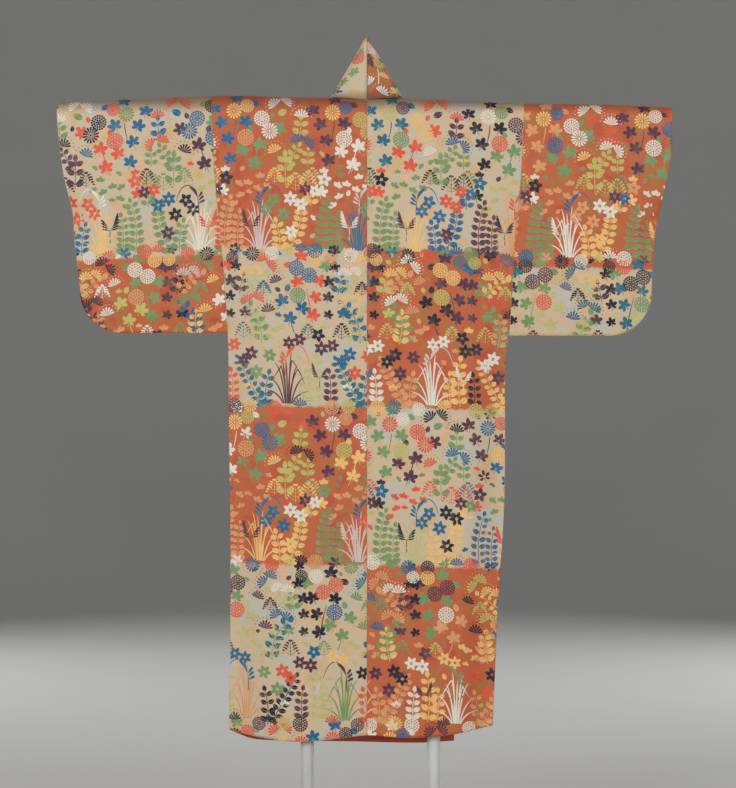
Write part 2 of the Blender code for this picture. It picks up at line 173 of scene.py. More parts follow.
# Creases: face, place across, drop, reach along, reach across, turn in degrees, height
CREASES = (
    ("back", 0.222, 1.372, 0.040, 0.007, 35, 0.0030),
    ("back", -0.255, 1.180, 0.055, 0.010, 4, 0.0022),
    ("back", -0.215, 1.215, 0.070, 0.012, -6, -0.0018),
    ("back", 0.105, 0.018, 0.050, 0.006, 20, 0.0024),
    ("back", -0.300, 0.300, 0.020, 0.110, 3, 0.0020),
    ("back", -0.270, 0.420, 0.018, 0.120, -4, -0.0022),
    ("back", 0.300, 0.330, 0.022, 0.130, -3, 0.0024),
    ("back", 0.262, 0.480, 0.020, 0.140, 5, -0.0022),
    ("back", -0.170, 0.820, 0.030, 0.210, 3, 0.0018),
    ("back", 0.140, 0.900, 0.032, 0.240, -4, 0.0022),
    ("back", -0.060, 1.120, 0.026, 0.200, 2, -0.0018),
    ("back", 0.055, 0.560, 0.026, 0.180, 3, 0.0014),
    ("back", -0.505, 0.260, 0.024, 0.120, 8, 0.0020),
    ("back", -0.590, 0.360, 0.022, 0.090, -12, -0.0020),
    ("back", -0.410, 0.400, 0.024, 0.080, 14, 0.0018),
    ("back", 0.500, 0.240, 0.024, 0.130, -8, 0.0022),
    ("back", 0.585, 0.370, 0.022, 0.090, 12, -0.0020),
    ("back", 0.430, 0.410, 0.022, 0.080, -12, 0.0018),
    ("back", -0.130, 0.095, 0.110, 0.010, 3, 0.0010),
    ("back", 0.230, 0.110, 0.120, 0.012, -4, 0.0012),
    ("back", -0.100, 1.330, 0.090, 0.012, 8, -0.0012),
    ("back", 0.100, 1.250, 0.080, 0.012, -10, 0.0012),
    ("front", -0.255, 0.420, 0.020, 0.130, 6, 0.0024),
    ("front", -0.150, 0.700, 0.026, 0.220, -3, 0.0022),
    ("front", 0.060, 0.950, 0.024, 0.220, 3, 0.0022),
    ("front", -0.060, 1.180, 0.024, 0.180, -2, -0.0018),
    ("front", 0.250, 0.450, 0.022, 0.150, -6, 0.0022),
    ("front", 0.140, 1.200, 0.022, 0.180, 4, 0.0020),
    ("front", -0.180, 0.200, 0.070, 0.010, -24, 0.0018),
    ("front", 0.190, 0.220, 0.070, 0.010, 24, 0.0018),
    ("front", -0.500, 0.250, 0.024, 0.120, -8, 0.0020),
    ("front", 0.510, 0.260, 0.024, 0.120, 8, 0.0020),
    ("front", -0.580, 0.380, 0.022, 0.080, 14, -0.0018),
    ("front", 0.580, 0.390, 0.022, 0.080, -14, -0.0018),
    ("front", -0.210, 1.330, 0.080, 0.012, 7, 0.0014),
)

SEAM_DIP = 0.0011
SEAM_REACH = 0.0045
BLOCK = 0.360
BLOCK_FEATHER = 0.004
COLLAR_SHIFT = {"left": 0.2 * BLOCK, "right": -0.8 * BLOCK}
COLLAR_STRETCH = 0.9
LINE_STEP = 0.008
EDGE_STEPS = (0.0, 0.002, 0.0045, 0.008)
ROLL_STEPS = 10

# A sleeve's block boundary lies on top of the bar and reaches its own place this far down, and the
# lowest block is drawn out by this share
SHIFT_REACH = 0.12
LOW_BLOCK_STRETCH = 0.12


def soft(part):
    """Ease from 0 to 1 with level ends."""
    part = np.clip(part, 0.0, 1.0)
    return part * part * (3.0 - 2.0 * part)


def mix(low, high, part):
    return low + (high - low) * part


def along(rows, place):
    """Read a table of (place, value) rows with a soft curve through them."""
    rows = np.asarray([row[:2] for row in rows], dtype=float)
    at, value = rows[:, 0], rows[:, 1]
    slope = np.empty(len(at))
    slope[1:-1] = (value[2:] - value[:-2]) / (at[2:] - at[:-2])
    slope[0] = (value[1] - value[0]) / (at[1] - at[0])
    slope[-1] = (value[-1] - value[-2]) / (at[-1] - at[-2])
    place = np.clip(place, at[0], at[-1])
    step = np.clip(np.searchsorted(at, place, side="right") - 1, 0, len(at) - 2)
    width = at[step + 1] - at[step]
    part = (place - at[step]) / width
    lead = part * (1.0 - part) ** 2 * width * slope[step]
    trail = part * part * (1.0 - part) * width * slope[step + 1]
    return mix(value[step], value[step + 1], part * part * (3.0 - 2.0 * part)) + lead - trail


def bar_axis(x):
    """Height of the bar's centre line under the cloth."""
    return SHOULDER + along(SHOULDER_LINE, x) - WALL / 2 - ROLL_RADIUS


def seam_depth(side, drop):
    """Half the distance between back and front sheet along the sleeve seam."""
    bottom = SLEEVE_DROP[side]
    taper = mix(ROLL_RADIUS, SLEEVE_LOW_DEPTH, soft(drop / bottom))
    return mix(SEAM_HALF_DEPTH, taper, soft((bottom - drop) / SLEEVE_EASE))


def body_y(side, layer, face, x, z):
    """Depth of the body's back (face -1) or front (face 1) sheet."""
    drop = SHOULDER - z
    inside = np.abs(along(SIDE_LINE[side], drop) - x)
    full = ROLL_RADIUS + HEM_FLARE * soft(drop / 1.2)
    depth = mix(seam_depth(side, drop), full, soft(inside / SIDE_EASE))
    strength = soft((drop - 0.35) / 1.1) * soft(inside / SIDE_EASE)
    wave = HEM_WAVE * strength * np.cos(2.0 * math.pi * (x - CENTRE) / WAVE_LENGTH)
    lap = 0.0
    if layer == "left":
        rise = soft((x - LAP_START) / LAP_WIDTH) * soft((bar_axis(x) - z) / LAP_FALL)
        lap = LAP_RISE * rise * (face > 0)
    return face * depth + wave + lap


def sleeve_low(side, x):
    """Height of the sleeve's lower edge, with its round outer corner."""
    low = SHOULDER - SLEEVE_DROP[side]
    corner = abs(CUFF_LINE[side][-1][1]) - SLEEVE_CORNER
    past = np.clip(np.abs(x) - corner, 0.0, SLEEVE_CORNER)
    return low + SLEEVE_CORNER - np.sqrt(SLEEVE_CORNER ** 2 - past ** 2)


def sleeve_y(side, face, x, z):
    """Depth of a sleeve's sheet: open at the cuff, closed below it."""
    drop = SHOULDER - z
    taper = mix(ROLL_RADIUS, SLEEVE_LOW_DEPTH, soft(drop / SLEEVE_DROP[side]))
    edge = np.abs(np.abs(along(CUFF_LINE[side], drop)) - np.abs(x))
    closed = soft((drop - CUFF_OPENING) / CUFF_EASE) * (1.0 - soft(edge / SLEEVE_EASE))
    over = soft((z - sleeve_low(side, x)) / SLEEVE_EASE)
    return face * mix(SEAM_HALF_DEPTH, taper, over * (1.0 - closed))


def creased(face, x, z):
    """How far the creases of one face push it outward."""
    drop = SHOULDER - z
    total = np.zeros(np.broadcast(x, z).shape)
    for name, across, down, reach, width, turn, height in CREASES:
        here = np.where(face < 0, name == "back", name == "front")
        cos, sin = math.cos(math.radians(turn)), math.sin(math.radians(turn))
        first = (x - across) * cos + (drop - down) * sin
        second = (drop - down) * cos - (x - across) * sin
        total += here * height * np.exp(-(first / reach) ** 2 - (second / width) ** 2)
    ripple = np.sin(x * 47.0 + drop * 9.0) * np.sin(drop * 23.0 - x * 13.0)
    return total + RIPPLE * ripple * soft(drop / 0.15)


class Cloth:
    """One cut piece of the robe as a surface over x and b."""

    proud = 0.0

    def __init__(self, kind, side):
        self.kind = kind
        self.side = side
        self.sign = SIGN[side]

    def height(self, x, b):
        """Height of the cloth's middle, and how far round the roll it lies."""
        below = np.maximum(np.abs(b) - HALF_ROLL, 0.0)
        return bar_axis(x) - below, np.clip(b / HALF_ROLL, -1.0, 1.0) * math.pi / 2

    def hem(self, x, face):
        """Place along the cloth of its lower edge, on the back or the front."""
        if self.kind == "sleeve":
            low = sleeve_low(self.side, x)
        else:
            rows = BACK_HEM if face < 0 else FRONT_HEM[self.side]
            low = SHOULDER - along(rows, x)
        return face * (bar_axis(x) - low + HALF_ROLL)

    def edges(self, x, b):
        """Places across of the two long edges, at the height that b has near x."""
        z, turn = self.height(x, b)
        drop = SHOULDER - z
        side_edge = along(SIDE_LINE[self.side], drop)
        if self.kind == "sleeve":
            return side_edge, along(CUFF_LINE[self.side], drop)
        lapel = along(LAPEL_LINE[self.side], drop)
        seam = OVERLAP_SEAM_SHIFT[self.side] * soft((drop - 0.3) / 1.0)
        if self.kind == "overlap":
            return CENTRE + self.sign * seam, CENTRE + self.sign * lapel
        degrees = 90.0 + np.degrees(turn)
        angles, outs = zip(*NECKLINE)
        inner = np.interp(degrees, angles, outs, left=0.0)
        inner = np.where(b >= HALF_ROLL, np.maximum(lapel, seam), inner)
        return CENTRE + self.sign * inner, side_edge

    def place(self, x, b, lift=0.0):
        """Points of the surface, lifted outward from the middle of the wall."""
        x, b = np.broadcast_arrays(np.asarray(x, float), np.asarray(b, float))
        z, turn = self.height(x, b)
        face = np.where(b < 0, -1.0, 1.0)
        if self.kind == "sleeve":
            flat = sleeve_y(self.side, face, x, z)
        else:
            flat = body_y(self.side, self.side, face, x, z)
            if self.kind == "overlap":
                across = body_y(OTHER[self.side], self.side, face, x, z)
                flat = np.where((x - CENTRE) * self.sign < 0, across, flat)
        near_edge, far_edge = self.edges(x, b)
        dip = np.exp(-((x - near_edge) / SEAM_REACH) ** 2)
        if self.kind != "overlap":
            open_cuff = (self.kind == "sleeve") & (SHOULDER - z < CUFF_SEAM_START)
            dip = dip + np.exp(-((x - far_edge) / SEAM_REACH) ** 2) * (1.0 - open_cuff)
        push = lift - SEAM_DIP * dip
        on_roll = np.abs(b) < HALF_ROLL
        swell = creased(face, x, z) * soft((np.abs(b) - HALF_ROLL) / ROLL_EASE)
        radius = ROLL_RADIUS + push
        y = np.where(on_roll, radius * np.sin(turn), flat + face * (push + swell))
        z = np.where(on_roll, bar_axis(x) + radius * np.cos(turn), z)
        return np.stack([x, y, z], axis=-1)

    def grid(self, rows, parts):
        """x and b of a grid: rows are (face, fall), parts run from edge to edge."""
        parts = np.asarray(parts)
        all_x, all_b = [], []
        for face, value in rows:
            x = np.full(len(parts), CENTRE if self.kind != "sleeve" else self.sign * 0.5)
            for _ in range(5):
                if face == 0:
                    b = value * HALF_ROLL
                else:
                    b = mix(face * HALF_ROLL, self.hem(x, face), value)
                near, far = self.edges(x, b + np.zeros(len(parts)))
                x = mix(near, far, parts)
            all_x.append(x)
            all_b.append(b + np.zeros(len(parts)))
        return np.array(all_x), np.array(all_b)


def even_falls(length, step=LINE_STEP):
    count = max(2, round(length / step))
    return [row / count for row in range(1, count + 1)]


def close_to_edges(width, step=LINE_STEP):
    """Parts of a width, close together at both edges so that a seam can roll in."""
    rim = [*EDGE_STEPS]
    inner = width - 2 * rim[-1]
    count = max(2, round(inner / step))
    middle = [rim[-1] + inner * place / count for place in range(1, count)]
    return [place / width for place in rim + middle + [width - place for place in reversed(rim)]]


def new_object(name, mesh):
    made = bpy.data.objects.new(name, mesh)
    bpy.context.scene.collection.objects.link(made)
    return made


def grid_mesh(name, points, uv):
    """A mesh over a grid of points, made from bmesh's own grid, with one UV map."""
    rows, columns = points.shape[:2]
    grid = bmesh.new()
    bmesh.ops.create_grid(grid, x_segments=columns - 1, y_segments=rows - 1, size=0.5,
                          calc_uvs=False)
    mesh = bpy.data.meshes.new(name)
    grid.to_mesh(mesh)
    grid.free()
    flat = np.empty(len(mesh.vertices) * 3)
    mesh.vertices.foreach_get("co", flat)
    flat = flat.reshape(-1, 3)
    column = np.rint((flat[:, 0] + 0.5) * (columns - 1)).astype(int)
    row = np.rint((flat[:, 1] + 0.5) * (rows - 1)).astype(int)
    mesh.vertices.foreach_set("co", points[row, column].ravel())
    corner = np.empty(len(mesh.loops), dtype=np.int32)
    mesh.loops.foreach_get("vertex_index", corner)
    layer = mesh.uv_layers.new(name="weave")
    layer.uv.foreach_set("vector", uv[row, column][corner].ravel().astype(np.float32))
    mesh.shade_smooth()
    mesh.update()
    return mesh


def outward(mesh, inside):
    """Turn all faces of an open sheet so that its first face looks away from a point."""
    face = mesh.polygons[len(mesh.polygons) // 3]
    if face.normal.dot(face.center - Vector(inside(face.center))) < 0:
        mesh.flip_normals()


def clothe(name, mesh, wall, looks):
    """Give a sheet its wall, with the brocade outside and the lining inside."""
    piece = new_object(name, mesh)
    for look in looks:
        piece.data.materials.append(look)
    shell = piece.modifiers.new("wall", "SOLIDIFY")
    shell.thickness = wall
    shell.offset = 0.0
    shell.material_offset = 1
    shell.material_offset_rim = 0
    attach(piece, "root")
    return piece


def sheet_rows(length_back, length_front, step=LINE_STEP):
    """Rows of a length of cloth from its back hem over the roll to its front hem."""
    back = [(-1, fall) for fall in reversed(even_falls(length_back, step))]
    roll = [(0, turn / ROLL_STEPS) for turn in range(-ROLL_STEPS, ROLL_STEPS + 1)]
    front = [(1, fall) for fall in even_falls(length_front, step)]
    return back + roll + front


BODY_LENGTH = 1.43
SLEEVE_LENGTH = 0.51
# Shift along the cloth of each piece's blocks of red and cream ground. The collar's front part is
# folded in half and stitched down
BLOCK_SHIFT = {
    ("body", "left"): 0.0, ("body", "right"): BLOCK, ("overlap", "left"): 0.0,
    ("overlap", "right"): BLOCK, ("sleeve", "left"): BLOCK + 0.018, ("sleeve", "right"): 0.029,
}


def sew(kind, side, rows, width, looks):
    """Make one cut piece as a shell with its own UV map in metres of cloth."""
    piece = Cloth(kind, side)
    x, b = piece.grid(rows, close_to_edges(width))
    low = np.maximum(np.abs(b) - 3 * BLOCK, 0.0)
    whole = BLOCK * round(BLOCK_SHIFT[kind, side] / BLOCK)
    shift = whole + (BLOCK_SHIFT[kind, side] - whole) * soft(np.abs(b) / SHIFT_REACH)
    uv = np.stack([x, b - LOW_BLOCK_STRETCH * np.sign(b) * low + shift], axis=-1)
    mesh = grid_mesh(f"{kind}_{side}_cloth", piece.place(x, b), uv)
    outward(mesh, lambda at: (at.x, 0.0, at.z))
    made = clothe(f"{kind}_{side}_cloth", mesh, WALL, looks)
    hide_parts(f"{kind}_{side}")
    return made


class Recipe:
    """A short way to write a material's nodes."""

    def __init__(self, name):
        self.made = bpy.data.materials.new(name)
        self.made.use_nodes = True
        self.tree = self.made.node_tree
        self.shader = self.tree.nodes["Principled BSDF"]

    def fill(self, socket, value):
        if isinstance(value, bpy.types.NodeSocket):
            self.tree.links.new(value, socket)
        elif isinstance(value, (tuple, list)) and len(value) == 3 and socket.type == "RGBA":
            socket.default_value = (*value, 1.0)
        else:
            socket.default_value = value

    def node(self, kind, inputs=None, **settings):
        made = self.tree.nodes.new("ShaderNode" + kind)
        for name, value in settings.items():
            setattr(made, name, value)
        for name, value in (inputs or {}).items():
            self.fill(made.inputs[name], value)
        return made

    def maths(self, operation, first, second=0.0, third=0.0):
        made = self.node("Math", {0: first, 1: second, 2: third}, operation=operation)
        return made.outputs[0]

    def noise(self, vector, scale, detail=2.0, roughness=0.5):
        made = self.node("TexNoise", {"Vector": vector, "Scale": scale, "Detail": detail,
                                      "Roughness": roughness})
        return made.outputs["Fac"]

    def cloth_place(self):
        """The cloth's own map in metres, and its parts across and along."""
        weave = self.node("UVMap", uv_map="weave").outputs["UV"]
        parts = self.node("SeparateXYZ", {0: weave})
        return weave, parts.outputs[0], parts.outputs[1]

    def threads(self, x, b, across, length, detail=2.0):
        """Noise with its own fineness across and along the cloth."""
        place = self.vector(self.maths("MULTIPLY", x, across), self.maths("MULTIPLY", b, length))
        return self.noise(place, 1.0, detail)

    def ranged(self, value, low, high, to_low=0.0, to_high=1.0):
        made = self.node("MapRange", {"Value": value, "From Min": low, "From Max": high,
                                      "To Min": to_low, "To Max": to_high},
                         interpolation_type="SMOOTHSTEP")
        return made.outputs["Result"]

    def mixed(self, part, first, second, blend="MIX"):
        made = self.tree.nodes.new("ShaderNodeMix")
        made.data_type = "RGBA"
        made.blend_type = blend
        self.fill(made.inputs[0], part)
        self.fill(made.inputs[6], first)
        self.fill(made.inputs[7], second)
        return made.outputs[2]

    def patchy(self, colour, place, scale, low, high, tint):
        """A colour with soft patches of a second one."""
        return self.mixed(self.ranged(self.noise(place, scale), low, high), colour, linear(tint))

    def shaded(self, colour, shade):
        """A colour dimmed by a factor."""
        return self.mixed(1.0, colour, self.vector(shade, shade, shade), "MULTIPLY")

    def vector(self, x, y, z=0.0):
        return self.node("CombineXYZ", {0: x, 1: y, 2: z}).outputs[0]

    def bump(self, height, distance, strength=1.0, before=None):
        inputs = {"Height": height, "Distance": distance, "Strength": strength}
        if before is not None:
            inputs["Normal"] = before
        return self.node("Bump", inputs).outputs["Normal"]

    def finish(self, **sockets):
        for name, value in sockets.items():
            self.fill(self.shader.inputs[name.replace("_", " ")], value)
        return self.made


# Silk colours by letter, as sRGB from 0 to 255
SILKS = {
    "k": (16, 13, 38), "p": (84, 42, 66), "t": (14, 104, 126), "b": (10, 100, 140),
    "g": (116, 148, 94), "y": (194, 184, 102), "w": (228, 220, 204), "o": (238, 190, 114),
    "r": (222, 84, 56), "s": (220, 154, 102), "n": (80, 44, 52), "l": (214, 190, 180),
    "c": (194, 184, 122),
}

# Heights over the cloth, in metres: of stems and leaves, of flowers, and the rise of one patch
LOW_LIFT = WALL / 2 + 0.00015
HIGH_LIFT = WALL / 2 + 0.00045
PATCH_RISE = 0.0005
MM = 0.001

# A patch rises from a rim that is sunk in the cloth. Each lies one step over the patch before it,
# and after LAYERS of them the steps start over. All stop short of a piece's edges and hems
RIM_SLOPE = 1.6
RIM_SINK = 0.0002
LAYER_STEP = 0.000012
LAYERS = 16
SIDE_MARGIN = 0.0006
HEM_MARGIN = 0.0008

# Copies of a unit tried to each side, the widths that its motifs may spread over, how far below the
# bar its rows start, and how much of that the first row in front goes without
MOST_COPIES = 8
UNIT_SPREAD = 1.2
ROW_START = 0.014
FRONT_RISE = 0.010

# Cells of a unit that tell where its ground is still bare: millimetres, cells down, cells across
# that are kept and that are used, and how many places are tried for a sprig
CELL = 5.0
CELLS_DOWN = 80
CELLS_KEPT = 50
CELLS_ACROSS = 45
SPRIG_TRIES = 260


def linear(colour):
    """Turn an sRGB colour from 0 to 255 into linear values."""
    parts = [part / 255.0 for part in colour]
    return tuple(part / 12.92 if part < 0.04045 else ((part + 0.055) / 1.055) ** 2.4
                 for part in parts)


def disc(segments, squeeze):
    """A patch of one float of silk: bmesh's disc, squeezed and raised in the middle."""
    made = bmesh.new()
    bmesh.ops.create_circle(made, cap_ends=True, cap_tris=True, segments=segments, radius=0.5)
    made.verts.ensure_lookup_table()
    points = np.array([[vert.co.x, vert.co.y] for vert in made.verts])
    faces = [[vert.index for vert in face.verts] for face in made.faces]
    made.free()
    rise = 1.0 - np.clip(np.hypot(points[:, 0], points[:, 1]) * 2.0, 0.0, 1.0)
    up = points[:, 1] + 0.5
    points = np.stack([points[:, 0] * squeeze(up), up], axis=-1)
    return points, rise, faces


def ribbon(steps):
    """A patch for stems and blades: bmesh's grid, three points wide with a raised middle."""
    made = bmesh.new()
    bmesh.ops.create_grid(made, x_segments=2, y_segments=steps, size=0.5, calc_uvs=False)
    points = np.array([[vert.co.x, vert.co.y + 0.5] for vert in made.verts])
    faces = [[vert.index for vert in face.verts] for face in made.faces]
    made.free()
    return points, 1.0 - 2.0 * np.abs(points[:, 0]), faces


def half_leaf(aside):
    """One half of a pointed oval leaf, with a nearly straight edge at the vein."""
    points, rise, faces = disc(12, lambda up: 1.0 - 0.50 * np.abs(2.0 * up - 0.8) ** 2)
    points[:, 0] = aside * np.where(points[:, 0] < 0, 0.1 * points[:, 0], points[:, 0])
    return points, rise, [face[::int(aside)] for face in faces]


SLIM = disc(8, lambda up: 0.27 + 0.86 * up)
RAY = disc(10, lambda up: 0.24 + 1.20 * up ** 2)
LOBE = disc(9, lambda up: 0.80 + 0.35 * up)
SCALE = disc(7, lambda up: 0.90 + 0.25 * up)
POINTED = disc(12, lambda up: 1.05 - 0.62 * np.clip(up - 0.55, 0.0, 1.0) * 2.2)
DOT = disc(5, lambda up: 1.0)
LEAF_SIDES = {1.0: half_leaf(1.0), -1.0: half_leaf(-1.0)}
RIBBON = ribbon(10)
TWIG = ribbon(3)


class Weave:
    """Gathers the woven patches of one cut piece, in millimetres of one pattern unit."""

    def __init__(self, cloth):
        self.cloth = cloth
        self.parts = []
        self.count = 0
        self.pinned = None
        self.unit(0.0, 0.0, 1.0, -1.0)

    def unit(self, start, top, flip, face):
        """Set where the unit's corner lies, whether it is mirrored and on which face it lies."""
        self.start, self.top, self.flip, self.face = start, top, flip, face
        self.taken = np.zeros((CELLS_DOWN, CELLS_KEPT), dtype=bool)

    def add(self, shape, places, tint, lift):
        cells = (places / CELL).astype(int)
        self.taken[np.clip(cells[:, 1], 0, CELLS_DOWN - 1), cells[:, 0] % CELLS_ACROSS] = True
        if self.pinned:
            row, scale = self.pinned
            places = np.stack([places[:, 0], row + (places[:, 1] - row) * scale], axis=-1)
        lift += (len(self.parts) % LAYERS) * LAYER_STEP
        x = self.start + self.flip * places[:, 0] * MM
        b = self.face * (self.top + places[:, 1] * MM)
        height = lift - RIM_SINK + PATCH_RISE * np.minimum(shape[1] * RIM_SLOPE, 1.0)
        self.parts.append((x, b, height, tint, shape[2], self.count, self.flip * self.face, lift))
        self.count += len(x)

    def patch(self, shape, u, v, turn, width, length, tint, lift=LOW_LIFT):
        """Lay one patch with its base at (u, v), turned clockwise from upright."""
        points = shape[0] * (width, length)
        cos, sin = math.cos(math.radians(turn)), math.sin(math.radians(turn))
        across = points[:, 0] * cos + points[:, 1] * sin
        up = points[:, 1] * cos - points[:, 0] * sin
        self.add(shape, np.stack([u + across, v - up], axis=-1), tint, lift)

    def stroke(self, start, bend, end, width, tint, taper=0.6, lift=LOW_LIFT):
        """Lay a ribbon along a curve from start to end that bends towards a third point."""
        start, bend, end = np.array(start), np.array(bend), np.array(end)
        shape = TWIG if np.linalg.norm(end - start) < 18.0 else RIBBON
        at = shape[0][:, 1][:, None]
        middle = (1 - at) ** 2 * start + 2 * at * (1 - at) * bend + at * at * end
        heading = 2 * (1 - at) * (bend - start) + 2 * at * (end - bend)
        heading = heading / np.maximum(np.linalg.norm(heading, axis=1, keepdims=True), 1e-6)
        aside = np.stack([-heading[:, 1], heading[:, 0]], axis=-1)
        wide = width * (1.0 - taper * np.abs(2.0 * at - 0.7) ** 2.0 / 1.69)
        self.add(shape, middle + aside * shape[0][:, :1] * wide, tint, lift)

    def fill_gaps(self, tints, chance):
        """Set small sprigs where the unit still has bare ground."""
        for _ in range(SPRIG_TRIES):
            row, column = chance.randrange(2, 70), chance.randrange(CELLS_ACROSS)
            around = [(column + shift) % CELLS_ACROSS for shift in (-1, 0, 1)]
            if self.taken[row - 2:row + 2][:, around].any():
                continue
            u, v = column * CELL + 2.5, row * CELL + 4.0
            tint = tints[(row // 14) % len(tints)]
            if chance.random() < 0.4:
                oval_leaf(self, u, v + 4.0, 15.0, chance.uniform(-60.0, 60.0), tint)
            else:
                small_leaves(self, u, v, 9.5, chance.uniform(-50.0, 50.0), tint)

    def mesh(self, name):
        """Clip all patches to the piece, lay them on its surface and make one mesh."""
        x, b, lift = [np.concatenate([part[row] for part in self.parts]) for row in range(3)]
        tints, high, faces = [], [], []
        for places, _, _, tint, corners, first, turned, base in self.parts:
            tints.append(np.tile((*linear(SILKS[tint]), 1.0), (len(places), 1)))
            high.append(np.full(len(places), base > LOW_LIFT))
            order = 1 if turned > 0 else -1
            faces.extend([[corner + first for corner in face][::order] for face in corners])
        tints, high = np.concatenate(tints), np.concatenate(high)
        near, far = self.cloth.edges(x, b)
        low, top = np.minimum(near, far) + SIDE_MARGIN, np.maximum(near, far) - SIDE_MARGIN
        back, front = self.cloth.hem(x, -1) + HEM_MARGIN, self.cloth.hem(x, 1) - HEM_MARGIN
        outside = (x < low) | (x > top) | (b < back) | (b > front)
        x, b = np.clip(x, low, top), np.clip(b, back, front)
        kept = [face for face in faces if not all(outside[corner] for corner in face)]
        used = np.unique([corner for face in kept for corner in face])
        fresh = np.zeros(len(x), dtype=int)
        fresh[used] = np.arange(len(used))
        kept = [[int(fresh[corner]) for corner in face] for face in kept]
        x, b, lift, tints, high = x[used], b[used], lift[used], tints[used], high[used]
        mesh = bpy.data.meshes.new(name)
        mesh.from_pydata(self.cloth.place(x, b, lift + self.cloth.proud).tolist(), [], kept)
        corner = np.empty(len(mesh.loops), dtype=np.int32)
        mesh.loops.foreach_get("vertex_index", corner)
        layer = mesh.uv_layers.new(name="weave")
        layer.uv.foreach_set("vector", np.stack([x, b], axis=-1)[corner].ravel().astype(np.float32))
        silk = mesh.color_attributes.new("silk", "FLOAT_COLOR", "POINT")
        silk.data.foreach_set("color", tints.ravel().astype(np.float32))
        mesh.shade_smooth()
        mesh.update()
        return mesh


def away(u, v, distance, lean):
    """The point at a distance from (u, v), lean degrees clockwise from upright."""
    turn = math.radians(lean)
    return u + distance * math.sin(turn), v - distance * math.cos(turn)


# Each motif below takes the same arguments, so that MOTIFS can call any of them
def rayed_mum(weave, u, v, size, turn, tint):
    """A chrysanthemum seen from the front, with one ring of long petals."""
    for petal in range(14):
        lean = turn + 360.0 * petal / 14
        weave.patch(RAY, *away(u, v, 0.16 * size, lean), lean, 0.33 * size, 0.86 * size, tint,
                    HIGH_LIFT)
    weave.patch(DOT, u, v + 0.15 * size, 0.0, 0.30 * size, 0.30 * size, tint, HIGH_LIFT)


def scaled_mum(weave, u, v, size, turn, tint):
    """A chrysanthemum of round petals that lie in rings like scales."""
    for ring, count in ((0.0, 1), (0.28, 6), (0.56, 12), (0.84, 18)):
        for petal in range(count):
            lean = turn + 360.0 * (petal + 0.5) / count
            weave.patch(SCALE, *away(u, v, (ring - 0.14) * size, lean), lean,
                        0.265 * size, 0.29 * size, tint, HIGH_LIFT)


def side_mum(weave, u, v, size, turn, tint):
    """A chrysanthemum seen from the side: a fan of slender petals with dots round it."""
    for petal in range(7):
        lean = turn + (petal - 3) * 23.0
        weave.patch(RAY, *away(u, v, 0.04 * size, lean), lean, 0.275 * size,
                    size * (1.02 - 0.05 * abs(petal - 3)), tint, HIGH_LIFT)
    for dot in range(9):
        weave.patch(DOT, *away(u, v, 1.2 * size, turn + (dot - 4.0) * 20.0), 0.0,
                    0.13 * size, 0.13 * size, tint, HIGH_LIFT)


def lobed_leaf(weave, u, v, size, turn, tint):
    """A chrysanthemum leaf of five broad lobes on a short stalk."""
    for lobe, reach in ((0, 1.10), (-57, 1.0), (57, 1.0), (-114, 0.76), (114, 0.76)):
        weave.patch(LOBE, *away(u, v, 0.03 * size, turn + lobe), turn + lobe,
                    0.56 * size * reach, size * reach, tint)
    weave.stroke((u, v), (u, v), away(u, v, -0.75 * size, turn), 1.7, tint)


def bellflower(weave, u, v, size, turn, tint, petals=5):
    """A flower of broad pointed petals, set apart round a small eye."""
    for petal in range(petals):
        lean = turn + 360.0 * petal / petals
        weave.patch(POINTED, *away(u, v, 0.17 * size, lean), lean, (3.05 / petals) * size,
                    0.86 * size, tint, HIGH_LIFT)
    weave.patch(DOT, u, v + 0.07 * size, 0.0, 0.14 * size, 0.14 * size, tint, HIGH_LIFT)


def six_petals(weave, u, v, size, turn, tint):
    """The bellflower with six petals."""
    bellflower(weave, u, v, size, turn, tint, 6)


def oval_leaf(weave, u, v, size, turn, tint):
    """A pointed oval leaf, woven as two halves with the vein open between them."""
    cos, sin = math.cos(math.radians(turn)), math.sin(math.radians(turn))
    for aside, shape in LEAF_SIDES.items():
        gap = aside * 0.035 * size
        weave.patch(shape, u + gap * cos, v + gap * sin, turn, 0.62 * size, size, tint)


def leafy_stem(weave, base, bend, tip, tint, size):
    """A stem with pairs of oval leaves along it."""
    weave.stroke(base, bend, tip, 1.7, tint, 0.3)
    base, bend, tip = np.array(base, float), np.array(bend, float), np.array(tip, float)
    pairs = max(1, round(np.linalg.norm(tip - base) / (size * 0.86)))
    for pair in range(pairs):
        at = (pair + 0.35) / pairs
        place = (1 - at) ** 2 * base + 2 * at * (1 - at) * bend + at * at * tip
        heading = (1 - at) * (bend - base) + at * (tip - bend)
        turn = math.degrees(math.atan2(heading[0], -heading[1]))
        small = size * (1.0 - 0.22 * at)
        for aside in (-1.0, 1.0):
            lean = turn + aside * 62.0
            oval_leaf(weave, *away(*place, 1.6, lean), small, lean, tint)
    oval_leaf(weave, tip[0], tip[1], size * 0.75, turn, tint)


def buds(weave, u, v, size, turn, tint):
    """A branched head of small buds."""
    weave.stroke((u, v), (u, v - size * 0.5), (u, v - size), 1.2, tint)
    for branch in range(4):
        up = (branch + 0.5) / 4.4
        for aside in (-1.0, 1.0):
            reach = size * (0.40 - 0.28 * up)
            at_u, at_v = u + aside * reach, v - size * up - reach * 0.6
            weave.stroke((u, v - size * up), (u + aside * reach * 0.6, v - size * up),
                         (at_u, at_v), 1.0, tint)
            for bud in range(3):
                lean = turn + aside * (10.0 + 45.0 * bud)
                weave.patch(DOT, at_u + aside * (bud - 1) * 3.2, at_v + (bud - 1) * 3.0, lean,
                            4.4, 6.6, tint)
    weave.patch(DOT, u, v - size, 0.0, 4.4, 6.6, tint)


def small_leaves(weave, u, v, size, turn, tint):
    """A sprig of three small leaves."""
    for lean in (-58, 0, 58):
        oval_leaf(weave, u, v, size, turn + lean, tint)


